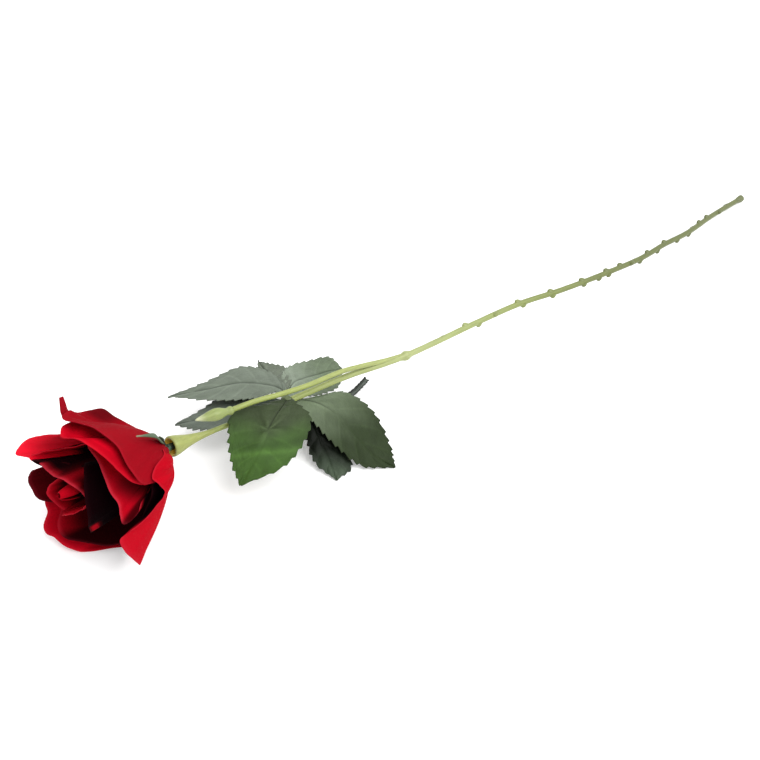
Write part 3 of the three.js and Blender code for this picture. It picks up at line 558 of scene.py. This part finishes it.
def petal_grid(petal, seed):
    """A petal's middle surface, the turn of each column, and the places across and along it from 0 to 1."""
    rim = petal["rim"]
    across = np.linspace(0, 1, (len(rim) - 1) * COLUMNS_PER_POINT + 1)
    along = np.linspace(0, 1, PETAL_ROWS)[:, None]
    turn, radius, height = through(rim, across).T
    middle = (rim[0][0] + rim[-1][0]) / 2
    spread = np.where(across < 0.5, petal["spread"][0], petal["spread"][1])
    opening = PETAL_FOOT + (1 - PETAL_FOOT) * along ** spread
    (shoulder_radius, shoulder_height), (belly_radius, belly_height) = petal["cup"]
    base = petal["base"]
    start, end, share = petal.get("flat", [0, 1, 0])
    wide = np.minimum(1, radius / belly_radius) * (1 - share * step(start, end, turn))
    tall = np.minimum(1, 0.6 * (height - base) / (belly_height - base))
    # A cubic curve from the root past the shoulder and the belly to the rim.
    weights = [(1 - along) ** 3, 3 * (1 - along) ** 2 * along, 3 * (1 - along) * along ** 2, along ** 3]
    radii = [PETAL_ROOT_RADIUS, wide * shoulder_radius, wide * belly_radius, radius]
    heights = [base, base + tall * (shoulder_height - base), base + tall * (belly_height - base), height]
    grid = bloom_point(middle + (turn - middle) * opening, sum(w * r for w, r in zip(weights, radii)),
                       sum(w * h for w, h in zip(weights, heights)))
    lip = LIPS.get(petal["name"], USUAL_LIP) * step(0.86, 1, along) ** 2
    waves = WAVE_HEIGHT * ripple(across * 4, along, seed) * along ** 3
    folds = FOLD_HEIGHT * ripple(across * 12, along * 0.8, seed + 50) * step(0.1, 0.7, along)
    grid = grid + normals(grid) * (lip + waves + folds)[..., None]
    grid[..., 2] = np.maximum(grid[..., 2], CLOTH_FLOOR)
    return grid, turn, across, along


# The front petal's rim, whose shadow is painted on the near second petal behind it.
FRONT_RIM = petal_grid(PETALS[0], PETAL_SEED)[0][-1]


def petal_painted_shade(name, depth, grid, turn, across, along, seed):
    """How much painted shade darkens the cloth, from 0 for red to 1 for nearly black."""
    amount, reach = depth
    soft = 0.5 - 0.4 * amount
    dark = amount * (1 - step(reach - soft, reach, along + 0.03 * ripple(across * 5, along, seed + 7)))
    if name == "top":
        # Painted shade on the top petal's far tip.
        far_corner = step(26, 30, turn) * step(0.72, 0.9, along)
        return np.maximum(dark, 0.6 * far_corner)
    if name == "front":
        return dark * (1 - 0.9 * step(-66, -50, turn))
    if name == "near_second":
        # Painted shade on the near second petal's low side and a painted shadow under the front petal's rim.
        low_side = 1 - step(-99, -92, turn)
        from_front = np.linalg.norm(grid[:, :, None] - FRONT_RIM, axis=-1).min(axis=-1)
        return np.maximum(dark, 0.85 * np.maximum(low_side, 1 - step(6, 15, from_front)))
    if name in SIDE_SHADE_TURNS:
        return np.maximum(dark, 0.95 * step(*SIDE_SHADE_TURNS[name], turn))
    if name == "near_inner":
        (turn_middle, turn_half), (along_middle, along_half) = CURL_TURN, CURL_ALONG
        curl = np.exp(-((turn - turn_middle) / turn_half) ** 4 - ((along - along_middle) / along_half) ** 4)
        return dark * (1 - curl)
    if name == "fold_inner":
        return dark * (1 - 0.55 * np.exp(-((turn - 5) / 32) ** 2) * step(0.6, 0.85, along))
    return dark


def petal_tint(name, inner, dark, turn, along):
    """The colour of one face of a petal, with its painted light and shade, without its pink rim highlight.
    """
    bright = 1 - dark[..., None]
    tint = RED * bright + DEEP_SHADE_RED * dark[..., None]
    if name == "top":
        # The top petal is painted darker as shade, with a faint painted pink highlight.
        tint = tint * 0.58 + HIGHLIGHT_PINK * 0.04 * bright
    if name == "far" and inner:
        # Painted light on the far petal's inner face, which lies in shade.
        tint = tint + HIGHLIGHT_PINK * 0.12 * bright
    if name == "front" and not inner:
        # Painted light on the front petal where the top petal's edge shadows it.
        under_top = step(-45, -20, turn) * (1 + 6.2 * (1 - step(0.84, 0.95, along)))
        tint = tint * (1 + 0.25 * under_top)[..., None]
    if name == "low":
        # Painted shade towards the low petal's smaller turns.
        tint = tint * (0.85 + 0.15 * step(150, 172, turn))[:, None]
    return tint * (INNER_PAINTED_LIGHT.get(name, 1) if inner else 1)


def petal_piece(petal, seed):
    name = petal["name"]
    grid, turn, across, along = petal_grid(petal, seed)
    # A painted pink highlight along each rim, dimmer where painted shade lies.
    edge = RIM_HIGHLIGHT.get(name, USUAL_RIM_HIGHLIGHT) * step(0.97, 1, along)[..., None]
    # Lengthwise streaks of painted light and shade, like soft folds in the cloth.
    streak = 1 + 0.12 * (ripple(across * 9, along * 0.5, seed + 90) * step(0.1, 0.6, along))[..., None]
    faces = []
    for inner, depth in enumerate(PAINTED_SHADE_DEPTHS[name]):
        dark = petal_painted_shade(name, depth, grid, turn, across, along, seed)
        tint = petal_tint(name, inner, dark, turn, along) * streak
        faces.append(tint * (1 - edge) + HIGHLIGHT_PINK * edge * (1 - 0.65 * dark[..., None]))
    make_piece("petal_" + name, [sheet(grid, CLOTH_THICKNESS, *faces)], petal_cloth, "bloom")


def horn_piece(rows=24, columns=9):
    """The top petal's twisted tip."""
    radius, low, high = through(HORN, np.linspace(0, 1, rows)).T[..., None]
    across = np.linspace(0, 1, columns)
    twist = HORN_TWIST * np.sin(np.linspace(0, 3, rows))[:, None] * (across - 0.5)
    grid = bloom_point(HORN_DEGREES + twist, radius, low + across * (high - low))
    # Painted darker, as shade, with a little painted pink highlight.
    tint = RED * 0.5 + HIGHLIGHT_PINK * 0.1
    make_piece("petal_horn", [sheet(grid, CLOTH_THICKNESS, tint, tint)], petal_cloth, "bloom")


def eye_piece(rows=30, columns=90):
    """The furled eye: a bright cone of cloth wound round itself, with painted shade at its foot and on its
    inner face.
    """
    wound = np.linspace(0, 1, columns)
    rise = np.linspace(0, 1, rows)[:, None]
    radius = (EYE_RADIUS + EYE_WIDENING * wound) * (1.05 - 0.5 * rise ** 3)
    grid = bloom_point(EYE_START + 360 * EYE_TURNS * wound, radius,
                       EYE_BASE + (EYE_HEIGHT - EYE_DROP * wound) * rise)
    tint = DEEP_SHADE_RED + (RED - DEEP_SHADE_RED) * (step(0.2, 0.55, rise) * np.ones(columns))[..., None]
    make_piece("bloom_eye", [sheet(grid, EYE_THICKNESS, tint, tint * 0.4)], petal_cloth, "bloom")


for number, petal in enumerate(PETALS):
    petal_piece(petal, PETAL_SEED + number)
horn_piece()
core = turned(CORE_PROFILE, BLOOM_BASE, BLOOM_AXIS, 48)
# The core is painted nearly black, as shade deep in the bloom.
make_piece("bloom_core", [coloured(core, DEEP_SHADE_RED)], petal_cloth, "bloom")
eye_piece()

# ---------------------------------------------------------------- the calyx

SEPAL_GREEN = srgb(62, 88, 52)
SEPAL_TIP = srgb(128, 128, 98)
CUP_GREEN = srgb(66, 92, 72)
PEG_GREEN = srgb(24, 34, 22)
# How much of a sepal's length is its narrow stalk.
SEPAL_STALK = 0.36
# The socket points from its mouth to the stem's middle at this x.
SOCKET_REACH = 22.0
MOUTH = np.array(STEM_ROUTE[0], float)
INWARD = unit(stem_at(SOCKET_REACH)[0] - MOUTH)
PEG_PROFILE = [
    [0.05, 0], [PEG_RADIUS - 0.6, 0], [PEG_RADIUS, 0.6], [PEG_RADIUS, PEG_DEPTH + PEG_JOINT],
]


def sepal_grid(degrees, path, rows=40, columns=13):
    """One narrow sepal with a raised rib, darkened at its root with painted shade and pale at its tip."""
    t = np.linspace(0, 1, rows)[:, None]
    radius, height = through(path, t[:, 0]).T[..., None]
    blade = np.maximum(0, (t - SEPAL_STALK) / (1 - SEPAL_STALK)) ** 0.8
    half = SEPAL_HALF_WIDTH * np.maximum(0.18, np.sin(math.pi * blade))
    across = np.linspace(-1, 1, columns)
    grid = bloom_point(degrees + across * np.degrees(half / radius), radius, height)
    grid = grid + normals(grid) * (0.25 * np.exp(-(across / 0.18) ** 2) * (1 - t))[..., None]
    tip = step(0.9, 1, t)[..., None] * np.ones((1, columns, 1))
    # Painted shade at the sepal's root.
    tint = (SEPAL_GREEN * (1 - tip) + SEPAL_TIP * tip) * (0.15 + 0.85 * step(SEPAL_STALK, 0.5, t))[..., None]
    return sheet(grid, SEPAL_THICKNESS, tint, tint * 0.8)


make_piece("calyx_sepals", [sepal_grid(*sepal) for sepal in SEPALS], calyx_plastic, "calyx")
cup = turned(CALYX_PROFILE, BLOOM_BASE, BLOOM_AXIS, 32, smooth=3)
peg = turned(PEG_PROFILE, MOUTH + INWARD * PEG_DEPTH, -INWARD, 24, smooth=1)
make_piece("calyx_cup", [coloured(cup, CUP_GREEN), coloured(peg, PEG_GREEN)], calyx_plastic, "calyx")

# ---------------------------------------------------------------- the stem

# The stem's colour at each x along it.
STEM_COLOURS = np.array([
    [0, *srgb(142, 156, 80)], [80, *srgb(158, 170, 94)], [180, *srgb(169, 178, 118)],
    [230, *srgb(158, 169, 104)], [300, *srgb(131, 142, 76)], [360, *srgb(112, 121, 64)],
    [420, *srgb(103, 112, 60)], [565, *srgb(105, 113, 64)],
])
COLLAR_GREEN = srgb(104, 111, 70)
CUT_GREEN = srgb(146, 152, 112)
BORE_GREEN = srgb(50, 54, 34)
SOCKET_GREEN = srgb(158, 166, 92)
# The socket's amber plastic, made brighter as painted light against the shade in its mouth.
SOCKET_AMBER = srgb(252, 205, 50)
SOCKET_HOLE_SHADE = srgb(60, 66, 20)
BUD_GREEN = srgb(148, 162, 94)
BUD_PALE = srgb(206, 212, 170)
SHOOT_SHADE = np.array([0.98, 0.98, 0.88])
THORN_SHADE = 0.92
STEM_SIDES = 24
STEM_ROW_LENGTH = 2.5
SEAM_HEIGHT = 0.09


def in_stem_colour(grid, shade=1):
    """A grid in the stem's colour, which changes along it."""
    xs, *channels = STEM_COLOURS.T
    tint = np.stack([np.interp(grid[..., 0], xs, channel) for channel in channels], axis=-1)
    return coloured(grid, tint * shade)


def seam(count):
    """The mould's parting line: two faint ridges along the stem."""
    angle = np.linspace(0, 2 * math.pi, STEM_SIDES, endpoint=False)
    return SEAM_HEIGHT * np.exp(-((np.abs(np.cos(angle)) - 1) / 0.02) ** 2)[None] * np.ones((count, 1))


def stem_tube(start, end, radius):
    """A stretch of the stem, a little uneven, with its seams."""
    xs = np.arange(start, end + 0.01, (end - start) / round((end - start) / STEM_ROW_LENGTH))
    wander = 1 + 0.035 * ripple(xs * 0.05, xs * 0.011, 31)[:, None]
    return in_stem_colour(tube(stem_at(xs), radius * wander + seam(len(xs)), STEM_SIDES))


def fork_ring():
    """The swelling where the side shoot leaves the stem."""
    xs = np.linspace(FORK_X - 8, FORK_X + 7, 24)
    radii = STEM_RADIUS + FORK_SWELLING * np.exp(-((xs - FORK_X) / 3.0) ** 2)
    return in_stem_colour(tube(stem_at(xs), radii, STEM_SIDES))


def cut_end():
    """The flared collar, the cut face round the wire, and the wall of the wire's bore."""
    xs = np.linspace(STEM_END - COLLAR_LENGTH, STEM_END, 20)
    flare = COLLAR_FLARE * step(0, 0.9, (xs - xs[0]) / COLLAR_LENGTH)
    collar = tube(stem_at(xs), STEM_RADIUS + flare, STEM_SIDES)
    face_radii = [STEM_RADIUS + COLLAR_FLARE, 2.6, 1.6, WIRE_BORE_RADIUS]
    face = tube(stem_at(np.linspace(STEM_END - 0.02, STEM_END, 4)), face_radii, STEM_SIDES)
    for grid in (collar, face):
        grid[..., 2] = np.maximum(grid[..., 2], PLASTIC_FLOOR)
    bore = tube(stem_at(np.linspace(STEM_END - 12, STEM_END, 4)), WIRE_BORE_RADIUS, STEM_SIDES)
    return [coloured(collar, COLLAR_GREEN), coloured(face, CUT_GREEN), coloured(bore, BORE_GREEN)]


def leaf_stop():
    """The step up from the neck to the stem's full thickness, just past the leaves' sleeve."""
    xs = np.linspace(LEAF_STOP, LEAF_STOP + 0.02, 3)
    return in_stem_colour(tube(stem_at(xs), [1.0, 1.7, STEM_RADIUS], STEM_SIDES))


def shoot_tube(rows=70):
    """The side shoot, from the fork to the foot of its bud."""
    places = np.linspace(0, 1, rows)
    wander = 1 + 0.03 * ripple(places * 9, 0, 12)[:, None]
    grid = tube(through(SHOOT_ROUTE, places), SHOOT_RADIUS * wander + seam(rows), STEM_SIDES)
    return in_stem_colour(grid, SHOOT_SHADE)


def thorn_stub(x, degrees):
    """A blunt thorn, drawn out along the stem."""
    angle = math.radians(degrees)
    outward = np.array([THORN_LEAN, math.sin(angle), math.cos(angle)])
    foot = stem_at(x)[0] + outward * (STEM_RADIUS - THORN_SINK)
    grid = turned(THORN_PROFILE, foot, outward, 14, smooth=2)
    forward = unit(stem_at(x + 1)[0] - stem_at(x - 1)[0])
    grid = grid + ((grid - foot) @ forward)[..., None] * (THORN_STRETCH - 1) * forward
    return in_stem_colour(grid, THORN_SHADE)


def socket_cup(smooth=3):
    """The socket under the bloom: its inside runs from a hole darkened with painted shade to an amber mouth,
    whose amber is made brighter as painted light.
    """
    grid = turned(SOCKET_PROFILE, MOUTH, INWARD, 48, smooth=smooth)
    depth = (grid - MOUTH) @ INWARD
    slant = (grid - MOUTH) @ SLANT_SIDE * math.tan(math.radians(SLANT_DEGREES)) * (1 - step(1, 10, depth))
    grid = grid + slant[..., None] * INWARD
    inside = (np.arange(len(grid)) < smooth * SOCKET_INSIDE)[:, None]
    amber = (inside * (1 - step(2.5, 7, depth)))[..., None]
    # Painted shade deep in the hole.
    hole = (inside * step(3, 9, depth))[..., None]
    tint = SOCKET_GREEN * (1 - amber) + SOCKET_AMBER * amber
    return coloured(grid, tint * (1 - hole) + SOCKET_HOLE_SHADE * hole)


def bud_ribs(angle, height):
    """How much the bud's five soft ribs widen it."""
    return 1 + 0.07 * np.abs(np.sin(2.5 * angle + 0.05 * height)) * step(1.5, 6, height)


def closed_bud():
    """The side shoot's ribbed bud, pale at its tip."""
    foot = np.array(SHOOT_ROUTE[-1], float)
    direction = unit(np.array(BUD_TIP) - foot)
    grid = turned(BUD_PROFILE, foot, direction, 60, wobble=bud_ribs)
    tip = step(14, 21, (grid - foot) @ direction)[..., None]
    return coloured(grid, BUD_GREEN * (1 - tip) + BUD_PALE * tip)


make_piece("stem_tube", [
    stem_tube(NECK_START, LEAF_STOP + 0.5, NECK_RADIUS), stem_tube(LEAF_STOP, STEM_END, STEM_RADIUS),
    fork_ring(), *cut_end(), leaf_stop(), shoot_tube(), *(thorn_stub(*thorn) for thorn in THORNS),
], stem_plastic, "stem")
make_piece("stem_socket", [socket_cup()], stem_plastic, "stem")
make_piece("stem_bud", [closed_bud()], stem_plastic, "stem")

# ---------------------------------------------------------------- the leaves

LEAF_THICKNESS = 0.45
LEAF_COLUMNS = 41
ROWS_PER_TOOTH = 9
TOOTH_PITCH = 5.0
TOOTH_DEPTH = 2.0
SIDE_VEINS = 7
LEAF_SEED = 300
GREY = srgb(132, 143, 127)
HUB_GREEN = srgb(120, 132, 96)
# A leaf's colour near its stalk and near its tip. The near low leaf's nearly black stalk end and the rolled
# leaf's dark greens are painted shade.
LEAF_COLOURS = {
    "far_long": (GREY, GREY),
    "far_low": (srgb(84, 96, 84), srgb(118, 128, 116)),
    "far_short": (srgb(124, 134, 116), srgb(124, 134, 116)),
    "far_stem": (srgb(138, 150, 132), srgb(108, 122, 98)),
    "near_left": (srgb(73, 86, 58), srgb(72, 105, 44)),
    "near_right": (srgb(110, 124, 98), srgb(48, 61, 35)),
    "near_low": (srgb(5, 12, 2), srgb(82, 96, 78)),
    "rolled": (srgb(40, 46, 40), srgb(50, 54, 50)),
}
# Where the near left leaf's star of creases is along it, and the star's size in millimetres.
STAR_PLACE, STAR_SIZE = 0.42, 11


def leaf_blade(leaf, seed):
    """A leaf's toothed blade, its places along and across, its half widths and its length."""
    angle = math.radians(leaf["root"])
    start = stem_at(HUB_X)[0] + LEAF_ROOT_RADIUS * np.array([0, math.cos(angle), math.sin(angle)])
    rib = np.array([start, *leaf["rib"]])
    length = np.linalg.norm(np.diff(rib, axis=0), axis=-1).sum()
    teeth = round(length / TOOTH_PITCH)
    along = np.linspace(0, 1, teeth * ROWS_PER_TOOTH + 1)[:, None]
    across = np.linspace(-1, 1, LEAF_COLUMNS)
    middle_line = through(rib, along[:, 0])
    edges = []
    for side in ("left", "right"):
        edge = np.array(leaf[side])
        first = rib[0] + LEAF_STALK * (edge[0] - rib[1])
        last = rib[-1] + leaf.get("end", LEAF_END) * (edge[-1] - rib[-2])
        edges.append(through([first, *edge, last], along[:, 0]) - middle_line)
    reach = np.where((across < 0)[:, None], edges[0][:, None], edges[1][:, None])
    half = np.linalg.norm(reach, axis=-1)
    phase = (along * teeth + 0.15 * ripple(along * 20, 0, seed)) % 1
    notch = np.minimum(0.3, TOOTH_DEPTH / np.maximum(half, 1)) * (1 - phase) * step(0.1, 0.25, along)
    width = np.abs(across) * (1 - notch * np.abs(across) ** 4)
    return middle_line[:, None] + reach * width[..., None], along, across, half, length


def leaf_lines(along, across, half):
    """How much each point is in the midrib, the strip beside it, a side vein and the quilting."""
    out = np.abs(across)
    midrib = np.exp(-(out * half / 0.8) ** 2)
    beside = np.exp(-((across * half - 1.9) / 0.9) ** 2)
    place = (along - 0.16 * out) * SIDE_VEINS + 0.5 * (across > 0)
    veins = np.exp(-((place - np.round(place)) / 0.07) ** 2) * step(0, 0.12, out) * (1 - step(0.75, 1, out))
    quilt = np.cos(2 * math.pi * place) * out * (1 - out) * 4
    return midrib, beside, veins, quilt


def star_creases(along, across, half, length):
    """Creases that run out from one place of a leaf, and the distance from there."""
    forward, sideways = (along - STAR_PLACE) * length, across * half
    distance = np.hypot(forward, sideways)
    star = np.cos(5 * np.arctan2(sideways, forward) + 0.6) * np.exp(-(distance / STAR_SIZE) ** 2)
    return star, distance


def leaf_tint(name, along, across, lines, star, seed):
    """A leaf's colour on its lighter face, with painted shade and light on its creases and folds."""
    midrib, beside, veins, _ = lines
    stalk_colour, tip_colour = LEAF_COLOURS[name]
    # The near low leaf keeps its painted shade further out from its stalk.
    held = 0.3 if name == "near_low" else 0
    fade = step(0.3, 0.7, along - held + 0.06 * ripple(across, along * 4, seed + 9))[..., None]
    tint = stalk_colour * (1 - fade) + tip_colour * fade
    # Painted shade in the midrib's crease, lighter further out on the near leaves.
    late = step(0.3, 0.55, along) * name.startswith("near_")
    tint = tint * (1 - 0.45 * midrib * (1 - 1.3 * late) + 0.16 * beside * (1 - late)
                   + 0.22 * veins * step(0.3, 0.6, along))[..., None]
    if name == "near_left":
        # Painted highlights on the near left leaf's star of creases, and at its fold a painted highlight
        # with painted shade beside it.
        place = along + 0.05 * across
        fold = 0.4 * np.exp(-((place - 0.7) / 0.025) ** 2) - 0.2 * np.exp(-((place - 0.62) / 0.04) ** 2)
        tint = tint * (1 + 0.4 * np.maximum(star, 0) + fold)[..., None]
    if name == "rolled":
        # A painted highlight along the dark rolled leaf.
        stripe = np.exp(-((across - 0.1) / 0.35) ** 2) * step(0.3, 0.5, along)
        tint = tint * (1 + 8 * stripe)[..., None]
    return tint


def leaf_piece(leaf, seed):
    name = leaf["name"]
    grid, along, across, half, length = leaf_blade(leaf, seed)
    upward = np.sign(normals(grid)[..., 2].mean())
    lines = leaf_lines(along, across, half)
    midrib, _, veins, quilt = lines
    waves = ripple(across, along * 2, seed + 3) * np.abs(across)
    relief = 0.9 * waves - 0.9 * midrib - 0.2 * veins - 0.25 * quilt
    star, from_star = star_creases(along, across, half, length)
    if name == "near_left":
        relief = relief + star * step(1, 5, from_star)
    grid = grid + upward * normals(grid) * (relief * step(0, 0.12, along))[..., None]
    grid[..., 2] = np.maximum(grid[..., 2], CLOTH_FLOOR)
    tint = leaf_tint(name, along, across, lines, star, seed)
    make_piece("leaf_" + name, [sheet(grid, LEAF_THICKNESS, tint, tint * 0.8)], leaf_cloth, "leaves")


for number, leaf in enumerate(LEAVES):
    leaf_piece(leaf, LEAF_SEED + number)

hub_places, hub_radii = np.array(HUB_RING).T
hub = tube(stem_at(HUB_X + hub_places), hub_radii, 32)
make_piece("leaf_hub", [coloured(hub, HUB_GREEN)], leaf_cloth, "leaves")

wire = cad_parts["stem_wire"]
wire.data.materials.clear()
wire.data.materials.append(wire_material())

# ---------------------------------------------------------------- floor, light, camera

FLOOR_HALF_SIDE = 4
WORLD_STRENGTH = 1.17
SUN_DIRECTION = (0.35, -0.75, 1.2)
SUN_ANGLE = 50
SUN_STRENGTH = 2.5
CAMERA_PLACE = np.array([-238.993, -477.491, 496.943])
CAMERA_ELEVATION, CAMERA_HEADING = math.radians(38), math.radians(50)
FOCAL_PIXELS, FRAME_PIXELS, SENSOR = 1170, 760, 36


def pale_floor():
    """A plain floor that glows a little, so that shadows on it stay faint."""
    mesh = bpy.data.meshes.new("floor")
    corners = [(-1, -1), (1, -1), (1, 1), (-1, 1)]
    mesh.from_pydata([(FLOOR_HALF_SIDE * x, FLOOR_HALF_SIDE * y, 0) for x, y in corners], [], [(0, 1, 2, 3)])
    material, tree = new_material("floor_paper")
    shader = add(tree, "ShaderNodeBsdfPrincipled", {
        "Base Color": (0.8, 0.8, 0.8, 1), "Roughness": 0.9, "Specular IOR Level": 0.1,
        "Emission Color": (1, 1, 1, 1), "Emission Strength": 0.25})
    add(tree, "ShaderNodeOutputMaterial", {"Surface": shader.outputs[0]})
    mesh.materials.append(material)
    floor = bpy.data.objects.new("floor", mesh)
    bpy.context.scene.collection.objects.link(floor)


def studio_light():
    """An even white surround and one wide soft sun."""
    world = bpy.data.worlds.new("studio")
    bpy.context.scene.world = world
    world.use_nodes = True
    world.node_tree.nodes["Background"].inputs["Color"].default_value = (1, 1, 1, 1)
    world.node_tree.nodes["Background"].inputs["Strength"].default_value = WORLD_STRENGTH
    data = bpy.data.lights.new("key", "SUN")
    data.angle = math.radians(SUN_ANGLE)
    data.energy = SUN_STRENGTH
    sun = bpy.data.objects.new("key", data)
    sun.rotation_euler = (-Vector(SUN_DIRECTION)).to_track_quat("-Z", "Y").to_euler()
    bpy.context.scene.collection.objects.link(sun)


def camera_view():
    """The camera, with the photo's view."""
    look = Vector((math.cos(CAMERA_ELEVATION) * math.cos(CAMERA_HEADING),
                   math.cos(CAMERA_ELEVATION) * math.sin(CAMERA_HEADING), -math.sin(CAMERA_ELEVATION)))
    right = Vector((math.sin(CAMERA_HEADING), -math.cos(CAMERA_HEADING), 0))
    data = bpy.data.cameras.new("camera")
    data.sensor_width = SENSOR
    data.lens = SENSOR * FOCAL_PIXELS / FRAME_PIXELS
    camera = bpy.data.objects.new("camera", data)
    camera.matrix_world = (Matrix.Translation(Vector((CAMERA_PLACE + ORIGIN_SHIFT) * MM))
                           @ Matrix((right, right.cross(look), -look)).transposed().to_4x4())
    bpy.context.scene.collection.objects.link(camera)
    bpy.context.scene.camera = camera


pale_floor()
studio_light()
camera_view()
bpy.context.scene.view_settings.view_transform = "Standard"
